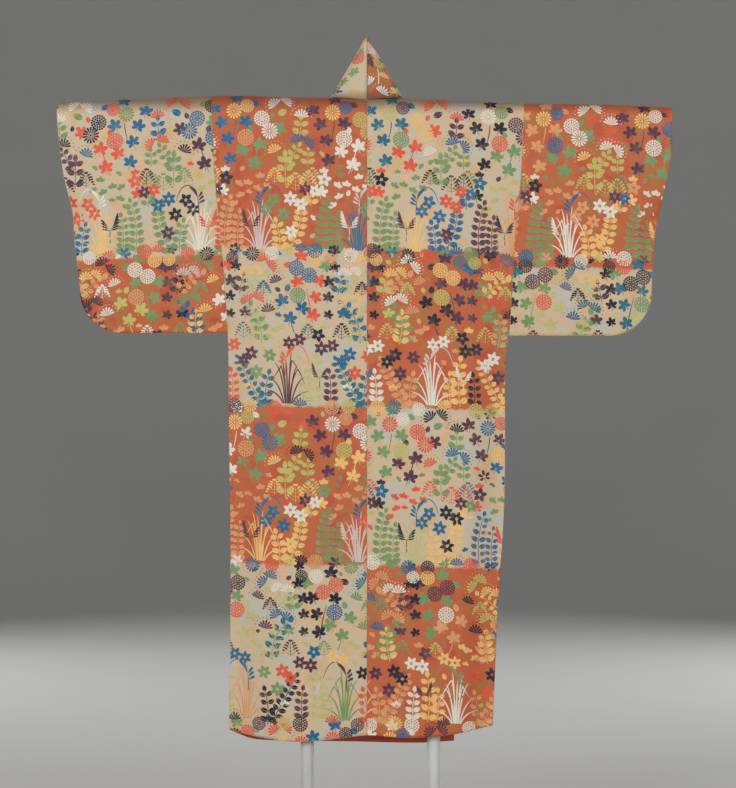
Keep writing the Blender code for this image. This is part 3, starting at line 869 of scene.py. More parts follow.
# Blades of a grass clump: root, tip across and above the base, and how far the middle bows out
BLADES = (
    (-9, -40, 56, 14), (-6, -30, 92, 9), (-4, -17, 110, 4), (-1, -5, 100, 1), (2, 8, 116, -2),
    (5, 22, 88, -7), (8, 38, 60, -14), (10, 46, 28, -12), (-11, -48, 30, 12),
)
FOLDED = ((-5, -16, 86, -34, 56), (4, 22, 78, 38, 44), (1, 9, 98, 26, 70))


def grasses(weave, u, v, size, turn, tint):
    """A clump of thin blades, some of them folded over at the top."""
    size = size / 100.0
    for root, tip, height, bow in BLADES:
        weave.stroke((u + root, v), (u + root + tip * 0.15 - bow * 0.3, v - height * size * 0.85),
                     (u + tip, v - height * size), 3.3, tint, 0.75)
    for root, knee, height, end, low in FOLDED:
        weave.stroke((u + root, v), (u + root, v - height * size * 0.6),
                     (u + knee, v - height * size), 3.2, tint, 0.3)
        weave.stroke((u + knee, v - height * size), (u + knee + 3, v - height * size),
                     (u + end, v - low * size), 2.6, tint, 0.7)


def plume(weave, u, v, size, turn, tint):
    """A pampas plume of slim floats, with its stalk bent over beside it."""
    weave.stroke((u - 2, v + size), (u - 2, v + size * 0.5), (u, v), 2.4, tint)
    for place in range(6):
        weave.patch(SLIM, u + place * 0.9, v - place * size * 0.10, 20.0 + place * 8.0,
                    0.20 * size, size * (0.62 - 0.03 * place), tint, HIGH_LIFT)
    for place in range(3):
        weave.patch(SLIM, u - 1.0, v + place * size * 0.18, -34.0 - place * 14.0,
                    0.20 * size, size * 0.48, tint, HIGH_LIFT)
    weave.stroke((u + 0.45 * size, v - 0.80 * size), (u + 1.1 * size, v - 0.95 * size),
                 (u + 1.35 * size, v + 0.15 * size), 2.2, tint)


def feathers(weave, u, v, size, turn, tint):
    """A small plume opened like two wings of narrow floats."""
    for aside, count in ((-1, 6), (1, 4)):
        for place in range(count):
            weave.patch(SLIM, u + aside * place * 2.0, v - place * size * 0.10,
                        aside * (78.0 - place * 11.0), 0.15 * size, size * (0.50 + 0.03 * place),
                        tint, HIGH_LIFT)
    weave.stroke((u, v + size * 0.8), (u, v + size * 0.4), (u, v - 1), 2.0, tint)


MOTIFS = {
    "leaf": lobed_leaf, "oval": oval_leaf, "sprig": small_leaves, "bell": bellflower,
    "six": six_petals, "side": side_mum, "rayed": rayed_mum, "scaled": scaled_mum,
    "buds": buds, "grass": grasses, "plume": plume, "feather": feathers,
}

# Which silk of a unit's list each group of motifs takes
GROUPS = "ABCDEFGHIJKLMNOPQRSTUVW"

UNIT_WIDTH = 0.224
UNIT_HEIGHT = 0.360


# The charts of two units: motif, millimetres across and down, size, turn in degrees and group
CHARTS = ((
    ("leaf", 10, 36, 18, -10, "A"), ("leaf", 60, 10, 17, -8, "A"), ("oval", 94, 16, 20, 118, "A"),
    ("leaf", 28, 68, 18, -24, "A"), ("leaf", 79, 66, 18, 26, "A"), ("leaf", 38, 104, 18, 20, "A"),
    ("leaf", 46, 150, 18, -14, "A"), ("leaf", 72, 130, 18, 20, "D"),
    ("leaf", 114, 118, 19, -10, "D"), ("leaf", 100, 160, 19, 12, "D"),
    ("leaf", 154, 78, 18, 40, "D"), ("oval", 96, 84, 18, -40, "D"), ("oval", 138, 54, 16, 20, "D"),
    ("oval", 154, 44, 23, 62, "J"), ("sprig", 85, 204, 13, 10, "L"),
    ("sprig", 114, 188, 13, -8, "L"), ("sprig", 106, 216, 13, 24, "L"),
    ("sprig", 70, 232, 13, -20, "L"), ("sprig", 64, 206, 13, 30, "L"),
    ("sprig", 56, 252, 13, -30, "L"), ("sprig", 128, 210, 12, 30, "L"),
    ("buds", 222, 214, 38, 0, "U"), ("buds", 8, 202, 34, 0, "U"), ("buds", 194, 216, 36, 0, "U"),
    ("buds", 146, 200, 30, 0, "U"), ("grass", 112, 352, 100, 0, "M"), ("rayed", 54, 38, 18, 0, "B"),
    ("scaled", 84, 26, 16, 0, "W"), ("scaled", 80, 98, 19.5, 0, "C"),
    ("scaled", 117, 54, 18.5, 0, "E"), ("rayed", 135, 82, 19, 0, "E"),
    ("side", 198, 106, 20, -14, "F"), ("side", 218, 112, 20, 56, "F"),
    ("side", 148, 130, 20, -24, "H"), ("side", 206, 50, 20, 6, "I"),
    ("side", 150, 24, 21, -42, "I"), ("side", 168, 18, 20, 44, "I"), ("bell", 35, 190, 17, 10, "K"),
    ("sprig", 34, 174, 13, 0, "R"), ("leaf", 28, 222, 17, 8, "R"), ("six", 182, 234, 17, 0, "R"),
    ("six", 206, 247, 17, 24, "R"), ("bell", 143, 238, 16, 30, "S"), ("six", 127, 260, 16, 0, "S"),
    ("six", 167, 270, 17, 12, "S"), ("six", 216, 212, 16, 0, "T"), ("six", 14, 216, 16, 20, "T"),
    ("six", 184, 310, 17, 18, "V"), ("plume", 116, 234, 36, 0, "N"),
    ("feather", 92, 300, 36, 0, "O"), ("scaled", 14, 352, 18, 0, "W"),
    ("rayed", 96, 362, 17, 0, "K"), ("side", 206, 354, 19, 0, "F"),
    ("scaled", 140, 360, 16, 0, "I"), ("leaf", 178, 352, 16, 30, "G"),
    ("leaf", 60, 356, 16, -30, "A"),
), (
    ("leaf", 180, 20, 18, 0, "A"), ("oval", 140, 42, 22, 60, "A"), ("leaf", 9, 42, 18, 30, "A"),
    ("leaf", 172, 78, 17, -20, "A"), ("leaf", 220, 76, 18, 30, "A"),
    ("leaf", 210, 112, 17, 50, "A"), ("leaf", 206, 154, 18, 20, "A"),
    ("scaled", 169, 44, 18, 0, "B"), ("scaled", 198, 60, 18, 0, "B"),
    ("scaled", 23, 24, 15, 0, "W"), ("scaled", 214, 24, 17, 0, "E"),
    ("scaled", 172, 106, 19, 0, "C"), ("oval", 146, 98, 19, 20, "D"),
    ("leaf", 138, 122, 18, -20, "D"), ("leaf", 181, 138, 19, 30, "D"),
    ("leaf", 154, 162, 18, 10, "D"), ("side", 96, 30, 20, -20, "F"), ("side", 106, 44, 20, 55, "F"),
    ("leaf", 27, 4, 14, 20, "K"), ("leaf", 30, 44, 16, 10, "K"), ("leaf", 19, 78, 16, -10, "K"),
    ("leaf", 17, 113, 15, 10, "K"), ("leaf", 17, 152, 13, 20, "K"), ("oval", 98, 64, 20, 20, "L"),
    ("buds", 94, 106, 26, 0, "U"), ("side", 106, 146, 20, -10, "H"), ("side", 56, 62, 20, 0, "I"),
    ("side", 76, 56, 18, 40, "I"), ("side", 60, 124, 20, -34, "F"), ("side", 78, 118, 20, 30, "F"),
    ("leaf", 52, 150, 16, 0, "J"), ("side", 124, 78, 18, -20, "H"), ("bell", 219, 196, 16, 30, "K"),
    ("six", 2, 226, 17, 0, "R"), ("six", 27, 220, 16, 24, "R"), ("six", 48, 256, 16, 0, "S"),
    ("six", 66, 240, 17, 12, "S"), ("six", 78, 282, 17, 0, "T"), ("six", 108, 244, 16, 20, "T"),
    ("six", 152, 214, 15, 0, "V"), ("six", 176, 206, 16, 24, "V"), ("buds", 48, 206, 32, 0, "U"),
    ("buds", 196, 206, 30, 0, "U"), ("plume", 146, 250, 38, 0, "N"),
    ("grass", 150, 352, 100, 0, "M"), ("feather", 222, 292, 30, 0, "O"),
    ("sprig", 120, 190, 13, 10, "L"), ("sprig", 136, 182, 13, -20, "L"),
    ("sprig", 106, 206, 13, 30, "L"), ("sprig", 62, 318, 14, 0, "I"),
    ("sprig", 10, 182, 13, 0, "L"), ("scaled", 26, 360, 18, 0, "W"), ("rayed", 64, 358, 17, 0, "E"),
    ("side", 178, 358, 19, 0, "B"), ("scaled", 120, 362, 16, 0, "R"),
))

# Stems of the two units: start, bend and tip in millimetres, length of the leaves or 0, group
STEMS = ((
    ((58, 58), (58, 75), (50, 102), 0, "A"), ((114, 96), (108, 130), (90, 178), 0, "D"),
    ((171, 206), (170, 160), (170, 140), 23, "G"), ((172, 160), (190, 134), (200, 116), 18, "G"),
    ((222, 160), (221, 140), (223, 126), 18, "G"), ((202, 94), (207, 74), (206, 56), 21, "J"),
    ((34, 354), (26, 290), (44, 240), 20, "P"), ((64, 358), (58, 320), (66, 272), 18, "P"),
    ((158, 354), (160, 320), (150, 290), 20, "Q"), ((176, 358), (208, 300), (206, 262), 21, "Q"),
    ((228, 250), (232, 232), (222, 226), 18, "Q"),
), (
    ((165, 192), (158, 178), (156, 160), 0, "D"), ((206, 170), (200, 120), (190, 90), 0, "A"),
    ((90, 216), (94, 160), (52, 128), 22, "G"), ((40, 104), (42, 84), (48, 66), 22, "J"),
    ((44, 96), (58, 84), (84, 66), 18, "L"), ((94, 362), (64, 310), (36, 254), 19, "P"),
    ((100, 364), (96, 320), (106, 288), 20, "P"), ((22, 350), (26, 320), (20, 284), 19, "R"),
    ((76, 216), (84, 180), (82, 150), 22, "Q"), ((214, 352), (206, 300), (214, 250), 22, "Q"),
    ((194, 352), (186, 320), (190, 284), 18, "Q"),
))


def unit(weave, chart, silks, chance):
    """One unit of the loom's pattern in one choice of silks."""
    silk = dict(zip(GROUPS, silks))
    for base, bend, tip, size, group in STEMS[chart]:
        if size:
            leafy_stem(weave, base, bend, tip, silk[group], size)
        else:
            weave.stroke(base, bend, tip, 2.4, silk[group])
    for kind, u, v, size, turn, group in CHARTS[chart]:
        MOTIFS[kind](weave, u, v, size, turn, silk[group])
    weave.fill_gaps((silk["U"], silk["J"], silk["P"], silk["L"]), chance)


# Rows of units down the cloth: the row's top below the shoulder, place of the first unit's corner,
# 1 or -1 when mirrored, and the silks of each unit in the row
BACK_ROWS = {
    ("body", "left"): (
        (0.000, -0.3505, 1, ("bosgwbyowykslbnsowgpowo", "powwywyorywwblwgowgwcwb")),
        (0.348, -0.3240, 1, ("rbgborgnopkcnrptcrpgtpp", "gpwkyobcwtkcbgntcpbrkcs")),
        (0.708, -0.3505, 1, ("wosgbkyorybsobnsowbpooy", "pwyowboysogslblgsorwcbs")),
        (1.068, -0.1200, -1, ("gkrcybtpwgkcsbrkcprgnbk", "krbgwtpgrobcgnlrcprkgot")),
        (1.424, -0.3505, 1, ("gklbprprroyygwpgbrbkygr", "brogkwgpsroyybpwgtrkogk")),
    ),
    ("body", "right"): (
        (0.000, 0.0034, 1, ("tygrobgwrpkgobpgbrbrkpp", "kwrgprcbobtysrkpgkrbgrg")),
        (0.348, 0.0034, 1, ("poyktwgsoykswlwsowkpywo", "bsowyrgkogpolwboskwpyoy")),
        (0.708, 0.0034, 1, ("gryprbgrkgbrcbkgokbprkw", "pbobwrykbrpgwprbyrkgbrr")),
        (1.068, 0.1334, -1, ("kwogosgbwpksowpsowkpgow", "gpwsoyskobpowgnsowkryob")),
        (1.424, 0.0034, 1, ("woyspwgwpyooyrtgkwopswb", "pyowgkyobwoysrpgwkoyswp")),
    ),
    ("sleeve", "left"): (
        (0.000, -0.4876, -1, ("bgrrkkpbwgrgowkgbrrpkbr", "grbpbrgkrbkywprrgbkrgpk")),
        (0.348, -0.6921, 1, ("gwsyokpwoykslwnosgkpwoy", "poywsgbolkpsowksoywpgso")),
    ),
    ("sleeve", "right"): (
        (0.000, 0.3535, 1, ("sobgwwyowrkswbwgowspyob", "powgborykoswswogsorbgtw")),
        (0.348, 0.5808, -1, ("gprcktgbopkcwnptcrpgkbk", "tkgcrpycwbkconlgcpbrktp")),
    ),
}

# How far across each kind of piece reaches, outward from the middle of the robe
REACH = {"body": (0.0, 0.37), "sleeve": (0.30, 0.71), "overlap": (-0.22, 0.06)}


def scatter(weave, kind, side):
    """Lay the pattern units over the back and the front of one piece."""
    chance = random.Random(f"{kind} {side}")
    rows = BACK_ROWS["body" if kind == "overlap" else kind, side]
    reach = sorted(SIGN[side] * place for place in REACH[kind])
    for face in (-1.0, 1.0):
        if kind == "overlap" and face < 0:
            continue
        for row, (top, corner, flip, copies) in enumerate(rows):
            if face > 0:
                corner, flip, copies = 2 * CENTRE - corner, -flip, copies[::-1]
            for step in range(-MOST_COPIES, MOST_COPIES + 1):
                place = corner + step * UNIT_WIDTH * flip
                low, high = sorted((place, place + UNIT_SPREAD * UNIT_WIDTH * flip))
                if high > reach[0] and low < reach[1]:
                    rise = FRONT_RISE if face > 0 and not top else 0.0
                    weave.unit(place, ROW_START + top - rise, flip, face)
                    unit(weave, row % 2, copies[step % len(copies)], chance)


class Collar:
    """One half of the collar as a surface over its width (x) and its length (b), in metres."""

    proud = (COLLAR_WALL - WALL) / 2

    def __init__(self, side):
        self.side = side
        self.sign = SIGN[side]
        columns = np.linspace(0.0, 1.0, COLLAR_COLUMNS)
        rows = [self.neck_row(row, columns) for row in COLLAR_NECK]
        rows += [self.front_row(drop, columns)
                 for drop in np.arange(FRONT_START, LAPEL_END, FRONT_STEP)]
        rows = np.array(rows + [self.front_row(LAPEL_END, columns)])
        middle = rows[:, COLLAR_COLUMNS // 2]
        steps = np.linalg.norm(np.diff(middle, axis=0), axis=1)
        length = np.concatenate([[0.0], np.cumsum(steps)])
        self.length = length[-1]
        self.at = np.linspace(0.0, self.length, COLLAR_ROWS)
        fine = [[along(list(zip(length, rows[:, column, axis])), self.at) for axis in range(3)]
                for column in range(COLLAR_COLUMNS)]
        self.points = np.transpose(np.array(fine), (2, 0, 1))
        self.width = np.linalg.norm(self.points[:, -1] - self.points[:, 0], axis=1)
        down = np.gradient(self.points, axis=0)
        across = np.gradient(self.points, axis=1)
        normal = np.cross(across, down) * -self.sign
        self.normal = normal / np.linalg.norm(normal, axis=2, keepdims=True)

    def neck_row(self, row, columns):
        """A row across the collar where it stands round the neck."""
        out, degrees, free_out, free_y, free_up = row
        x = CENTRE + self.sign * (out + COLLAR_HALF_GAP)
        radius = ROLL_RADIUS + COLLAR_WALL / 2
        turn = math.radians(degrees)
        sewn = np.array((x, -radius * math.cos(turn), bar_axis(x) + radius * math.sin(turn)))
        crossing = soft((free_y - CROSSING_START) / CROSSING_EASE)
        over = COLLAR_CROSSING * crossing if self.side == "left" else 0.0
        top = SHOULDER + along(SHOULDER_LINE, CENTRE) + free_up
        free_x = CENTRE + self.sign * (free_out + COLLAR_HALF_GAP)
        free = np.array((free_x, free_y + over, top))
        return sewn + (free - sewn) * columns[:, None]

    def front_row(self, drop, columns):
        """A row across the collar where it lies on the front."""
        line = LAPEL_LINE[self.side]
        step = 10 * MM
        out, ahead = along(line, drop), along(line, drop + step)
        way = np.array((self.sign * (ahead - out), -step))
        way = way / np.linalg.norm(way)
        width = along(COLLAR_FRONT, drop) * columns
        x = CENTRE + self.sign * out - self.sign * abs(way[1]) * width
        z = SHOULDER - drop + abs(way[0]) * width
        stand = along([(row[0], row[2]) for row in COLLAR_FRONT], drop) * columns
        over = COLLAR_CROSSING / COLLAR_STAND * stand if self.side == "left" else 0.0
        low = np.minimum(z, SHOULDER - 0.06)
        y = body_y(self.side, self.side, 1.0, x, low)
        return np.stack([x, y + stand + over, z], axis=-1)

    def edges(self, x, b):
        return np.zeros_like(b), np.interp(b, self.at, self.width)

    def hem(self, x, face):
        return np.full_like(x, self.length if face > 0 else 0.0)

    def place(self, x, b, lift=0.0):
        """Points at x across and b along the collar, lifted off its outer side."""
        last_row, last_column = COLLAR_ROWS - 1.001, COLLAR_COLUMNS - 1.001
        row = np.clip(np.interp(b, self.at, np.arange(COLLAR_ROWS)), 0.0, last_row)
        column = x / np.interp(b, self.at, self.width) * (COLLAR_COLUMNS - 1)
        column = np.clip(column, 0.0, last_column)
        first, second = row.astype(int), column.astype(int)
        down, side = (row - first)[..., None], (column - second)[..., None]
        found = []
        for values in (self.points, self.normal):
            near = mix(values[first, second], values[first, second + 1], side)
            far = mix(values[first + 1, second], values[first + 1, second + 1], side)
            found.append(mix(near, far, down))
        return found[0] + found[1] * np.asarray(lift)[..., None]


# Motifs on the collar behind the neck: kind, millimetres out from the middle and up from the seam,
# size, turn in degrees and silk
COLLAR_BACK = {
    "left": (
        ("leaf", 15, 106, 13, -30, "g"), ("scaled", 19, 86, 15, 0, "r"),
        ("leaf", 31, 62, 14, -40, "g"), ("leaf", 50, 40, 14, -60, "g"),
        ("leaf", 76, 12, 15, -40, "p"), ("oval", 4, 110, 16, 20, "l"),
    ),
    "right": (
        ("scaled", 3, 118, 14, 0, "l"), ("scaled", 18, 104, 13, 0, "l"),
        ("oval", 3, 88, 19, -20, "p"), ("leaf", 8, 74, 14, 20, "p"),
        ("rayed", 24, 84, 13, 0, "y"), ("oval", 32, 80, 17, 30, "k"),
        ("side", 42, 50, 15, 20, "o"), ("side", 9, 30, 19, -35, "w"),
        ("side", 27, 12, 19, 40, "w"), ("oval", 46, 14, 20, -10, "t"),
        ("oval", 61, 26, 17, 20, "t"), ("leaf", 68, 10, 15, 30, "y"),
    ),
}
COLLAR_SILKS = {"left": ("bosgwbyowykslbnsowgpowo", "kcgrbccplgrwcnktcwpbcyk"),
                "right": ("bcgcprwckotcbnkbcowrcyt", "powgokyosrkswbpgowkpsgo")}


def behind_neck(surface, out, up):
    """The place on the collar of a point behind the neck, out from the middle and up."""
    near, facing = surface.points[:NECK_ROWS], surface.normal[:NECK_ROWS, :, 1]
    across = CENTRE + surface.sign * out * MM - near[..., 0]
    gap = across ** 2 + (SHOULDER + up * MM - near[..., 2]) ** 2 + (facing > -0.1)
    row, column = np.unravel_index(np.argmin(gap), gap.shape)
    return surface.width[row] * column / (COLLAR_COLUMNS - 1), surface.at[row]


def trim_collar(weave, side):
    """Lay motifs round the neck, and the loom's unit down the front of the collar."""
    surface = weave.cloth
    weave.unit(0.0, 0.0, 1.0, 1.0)
    for kind, out, up, size, turn, tint in COLLAR_BACK[side]:
        x, b = behind_neck(surface, out, up)
        step = 4 * MM
        ahead = surface.place(np.array([x, x]), np.array([b, b + step]), np.zeros(2))
        stretch = np.linalg.norm(ahead[1] - ahead[0]) / step
        weave.pinned = (b / MM, 1.0 / max(stretch, 0.4))
        MOTIFS[kind](weave, x / MM, b / MM, size, 90.0 + surface.sign * turn, tint)
    weave.pinned = None
    if side == "right":
        low, high = [np.array(behind_neck(surface, 26, up)) / MM for up in (38, 68)]
        weave.stroke(low, (low + high) / 2, high, 1.8, "w", 0.2, HIGH_LIFT)
    for row, silks in enumerate(COLLAR_SILKS[side]):
        weave.unit(-0.06, 0.14 + row * UNIT_HEIGHT, 1.0, 1.0)
        unit(weave, row, silks, random.Random(f"collar {side} {row}"))


# How much painted shade dims the fold over the bar, and how much brown that painted shade gives its
# cream ground
FOLD_SHADE = 0.35
FOLD_SHADE_BROWN = 1.43


def fold_painted_shade(look):
    """A factor of painted shade that dims the fold where the cloth turns over the top of the bar.
    """
    # Painted shade: a band by height over the top of the roll, darkest where the cloth turns up
    # over the bar
    height = look.node("SeparateXYZ", {0: look.node("TexCoord").outputs["Object"]}).outputs[2]
    rising = look.ranged(height, 1.704, 1.740)
    above = look.ranged(height, 1.750, 1.768, 1.0, 0.0)
    return look.maths("MULTIPLY_ADD", look.maths("MULTIPLY", rising, above), -FOLD_SHADE, 1.0)


def cloth_look(settings, name="brocade_ground", red=None):
    """Brocade ground: two dyed grounds in blocks with feathered edges, and a fine twill."""
    known = bpy.data.materials.get(name)
    if known:
        return known
    look = Recipe(name)
    weave, x, b = look.cloth_place()
    threads = look.threads(x, b, 900.0, 8.0, 1.0)
    bands = look.threads(x, b, 70.0, 3.0)
    drift = look.maths("MULTIPLY_ADD", threads, 0.008, -0.004)
    drift = look.maths("ADD", drift, look.maths("MULTIPLY_ADD", bands, 0.014, -0.007))
    wave = look.maths("SINE", look.maths("MULTIPLY", b, math.pi / BLOCK))
    wave = look.maths("MULTIPLY_ADD", wave, BLOCK / math.pi, drift)
    block = look.ranged(wave, -BLOCK_FEATHER, BLOCK_FEATHER)
    red, cream = [tuple(colour) for colour in (red or settings.red, settings.cream)]
    red = look.patchy(red, weave, 17.0, 0.50, 0.62, (180, 112, 60))
    red = look.patchy(red, look.vector(b, x), 23.0, 0.54, 0.66, (190, 86, 56))
    cream = look.patchy(cream, weave, 14.0, 0.50, 0.64, (196, 190, 174))
    cream = look.patchy(cream, look.vector(b, x, 3.0), 19.0, 0.53, 0.64, (214, 178, 132))
    cream = look.patchy(cream, look.vector(x, b, 7.0), 26.0, 0.56, 0.66, (222, 182, 150))
    # Painted shade on the fold over the bar and the foot of the collar; on the body's cream ground
    # it is also browned
    fold = fold_painted_shade(look)
    if name == "brocade_ground":
        brown = look.maths("MULTIPLY_ADD", fold, -FOLD_SHADE_BROWN, FOLD_SHADE_BROWN)
        cream = look.mixed(brown, cream, linear((110, 84, 60)))
    ground = look.mixed(block, red, cream)
    fine = look.threads(x, b, 1500.0, 1100.0, 1.0)
    streaks = look.threads(x, b, 30.0, 700.0)
    shade = look.maths("ADD", look.maths("MULTIPLY_ADD", fine, 0.30, 0.78),
                       look.maths("MULTIPLY_ADD", streaks, 0.16, -0.01))
    # The ground is dimmed by the painted shade on the fold
    shade = look.maths("MULTIPLY", shade, fold)
    ground = look.shaded(ground, shade)
    slant = look.maths("MULTIPLY_ADD", x, 2600.0, look.maths("MULTIPLY", b, 1500.0))
    twill = look.maths("ADD", look.maths("SINE", slant), look.maths("MULTIPLY", fine, 1.2))
    normal = look.bump(twill, 0.00018, 0.8)
    rub = look.ranged(streaks, 0.3, 0.7, 0.62, 0.5)
    return look.finish(Base_Color=ground, Roughness=rub, Normal=normal, Sheen_Weight=0.12,
                       Sheen_Roughness=0.4, Specular_IOR_Level=0.35)


def lining_look(settings):
    """Plain silk lining with its fine ribs."""
    known = bpy.data.materials.get("silk_lining")
    if known:
        return known
    look = Recipe("silk_lining")
    weave, x, b = look.cloth_place()
    ribs = look.threads(x, b, 60.0, 1400.0)
    soil = look.noise(weave, 9.0, 3.0)
    stained = look.ranged(soil, 0.35, 0.7)
    colour = look.mixed(stained, tuple(settings.lining), linear((176, 62, 44)))
    shade = look.maths("MULTIPLY_ADD", ribs, 0.3, 0.85)
    colour = look.shaded(colour, shade)
    normal = look.bump(ribs, 0.00015, 0.6)
    return look.finish(Base_Color=colour, Roughness=look.ranged(soil, 0.3, 0.7, 0.42, 0.55),
                       Normal=normal, Sheen_Weight=0.2, Sheen_Roughness=0.3)


def silk_look():
    """Glossy silk floats in the colour woven into each patch, with threads across the cloth."""
    known = bpy.data.materials.get("silk_floats")
    if known:
        return known
    look = Recipe("silk_floats")
    woven = look.node("Attribute", attribute_name="silk", attribute_type="GEOMETRY")
    weave, x, b = look.cloth_place()
    threads = look.threads(x, b, 90.0, 1900.0)
    faded = look.noise(weave, 31.0, 2.0)
    shade = look.maths("ADD", look.maths("MULTIPLY_ADD", threads, 0.34, 0.72),
                       look.maths("MULTIPLY_ADD", faded, 0.20, 0.0))
    # The floats take the same painted shade on the fold over the bar
    shade = look.maths("MULTIPLY", shade, fold_painted_shade(look))
    colour = look.shaded(woven.outputs["Color"], shade)
    colour = look.mixed(look.ranged(faded, 0.45, 0.75, 0.0, 0.10), colour, linear((214, 186, 150)))
    normal = look.bump(threads, 0.0003, 0.8)
    return look.finish(Base_Color=colour, Roughness=look.ranged(threads, 0.3, 0.7, 0.5, 0.36),
                       Normal=normal, Sheen_Weight=0.06, Sheen_Roughness=0.3,
                       Specular_IOR_Level=0.4)


def cotton_look():
    """Undyed cotton round the padded bar."""
    look = Recipe("padding_cotton")
    place = look.node("TexCoord").outputs["Object"]
    parts = look.node("SeparateXYZ", {0: place}).outputs
    fineness = (1300.0, 90.0, 90.0)
    ribs = look.noise(look.vector(*[look.maths("MULTIPLY", part, count)
                                    for part, count in zip(parts, fineness)]), 1.0)
    soil = look.noise(place, 22.0, 3.0)
    stained = look.ranged(soil, 0.35, 0.7)
    colour = look.mixed(stained, linear((226, 220, 206)), linear((208, 198, 178)))
    shade = look.maths("MULTIPLY_ADD", ribs, 0.25, 0.86)
    colour = look.shaded(colour, shade)
    return look.finish(Base_Color=colour, Roughness=look.ranged(soil, 0.3, 0.7, 0.82, 0.92),
                       Normal=look.bump(ribs, 0.0004, 0.6), Sheen_Weight=0.15, Sheen_Roughness=0.5)


def paint_look(name, settings, tone, fine_scale):
    """Satin paint on steel, with a faint orange peel and a little wear."""
    look = Recipe(name)
    place = look.node("TexCoord").outputs["Object"]
    broad = look.noise(place, 7.0, 3.0)
    peel = look.noise(place, fine_scale, 2.0)
    colour = tuple(value * tone for value in settings.paint)
    worn = tuple(value * 0.78 for value in colour)
    colour = look.mixed(look.ranged(broad, 0.40, 0.70), colour, worn)
    scuffs = look.ranged(look.noise(place, 160.0, 4.0), 0.66, 0.74, 0.0, 0.25)
    colour = look.mixed(scuffs, colour, linear((120, 118, 114)))
    return look.finish(Base_Color=colour, Roughness=look.ranged(broad, 0.3, 0.7, 0.34, 0.48),
                       Normal=look.bump(peel, 0.00008, 0.5), Metallic=0.0, Coat_Weight=0.12,
                       Coat_Roughness=0.25)


def colour_setting(name, description, colour):
    return FloatVectorProperty(name=name, description=description, subtype="COLOR", size=3, min=0.0,
                               max=1.0, default=linear(colour))


class RobeCloth(bpy.types.PropertyGroup):
    """Colours and fineness of the robe's cloth."""

    red: colour_setting("Red ground", "Ground colour of the red blocks", (196, 100, 60))
    cream: colour_setting("Cream ground", "Ground colour of the cream blocks", (208, 186, 154))
    collar_red: colour_setting("Collar red", "Ground colour of the red half of the collar",
                               (168, 109, 74))
    lining: colour_setting("Lining", "Colour of the silk lining", (196, 74, 50))
    step: FloatProperty(name="Mesh step", default=LINE_STEP, min=0.004, max=0.03, unit="LENGTH",
                        description="Distance between the rows of the cloth's mesh")


class RobeStand(bpy.types.PropertyGroup):
    """Finish of the display stand."""

    paint: colour_setting("Paint", "Colour of the posts and the base plate", (206, 206, 204))
    peel: FloatProperty(name="Paint grain", description="Fineness of the paint's surface",
                        default=900.0, min=100.0, max=4000.0)


class RobeStage(bpy.types.PropertyGroup):
    """Floor, lights and camera."""

    floor: colour_setting("Floor", "Colour of the floor and the wall round it", (186, 186, 184))
    key: FloatProperty(name="Key light", description="Power of the main light", default=166.0,
                       min=0.0, max=2000.0, unit="POWER")
    fill: FloatProperty(name="Fill light", description="Power of the second light", default=124.0,
                        min=0.0, max=2000.0, unit="POWER")
    distance: FloatProperty(name="Camera distance", description="From the camera to the robe",
                            default=6.0, min=2.0, max=20.0, unit="LENGTH")
    frame_width: FloatProperty(name="View width", description="Width that the camera takes in",
                               default=1.673, min=0.2, max=10.0, unit="LENGTH")


def hang(kind, side, rows, width, settings):
    """Sew one piece and lay its flowers on it."""
    made = sew(kind, side, rows, width, (cloth_look(settings), lining_look(settings)))
    cover(kind, side, Cloth(kind, side))


def cover(kind, side, surface):
    weave = Weave(surface)
    if kind == "collar":
        trim_collar(weave, side)
    else:
        scatter(weave, kind, side)
    flowers = new_object(f"flowers_{kind}_{side}", weave.mesh(f"flowers_{kind}_{side}"))
    flowers.data.materials.append(silk_look())
    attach(flowers, "root")


class SewBodies(bpy.types.Operator):
    """Make the two body lengths, from the back hem over the bar to the front hem"""

    bl_idname = "robe.sew_bodies"
    bl_label = "Sew the body lengths"

    def execute(self, context):
        settings = context.scene.robe_cloth
        for side in SIGN:
            rows = sheet_rows(BODY_LENGTH, BODY_LENGTH, settings.step)
            hang("body", side, rows, 0.34, settings)
        return {"FINISHED"}


class SewOverlaps(bpy.types.Operator):
    """Make the two overlaps that widen the fronts"""

    bl_idname = "robe.sew_overlaps"
    bl_label = "Sew the overlaps"

    def execute(self, context):
        settings = context.scene.robe_cloth
        for side in SIGN:
            start = OVERLAP_START[side]
            rows = [(1, start + (1.0 - start) * fall)
                    for fall in [0.0] + even_falls(BODY_LENGTH * (1.0 - start), settings.step)]
            hang("overlap", side, rows, 0.16, settings)
        return {"FINISHED"}


class SewSleeves(bpy.types.Operator):
    """Make the two sleeves, each from its back edge over the bar to its front edge"""

    bl_idname = "robe.sew_sleeves"
    bl_label = "Sew the sleeves"

    def execute(self, context):
        settings = context.scene.robe_cloth
        for side in SIGN:
            rows = sheet_rows(SLEEVE_LENGTH, SLEEVE_LENGTH, settings.step)
            hang("sleeve", side, rows, 0.35, settings)
        return {"FINISHED"}


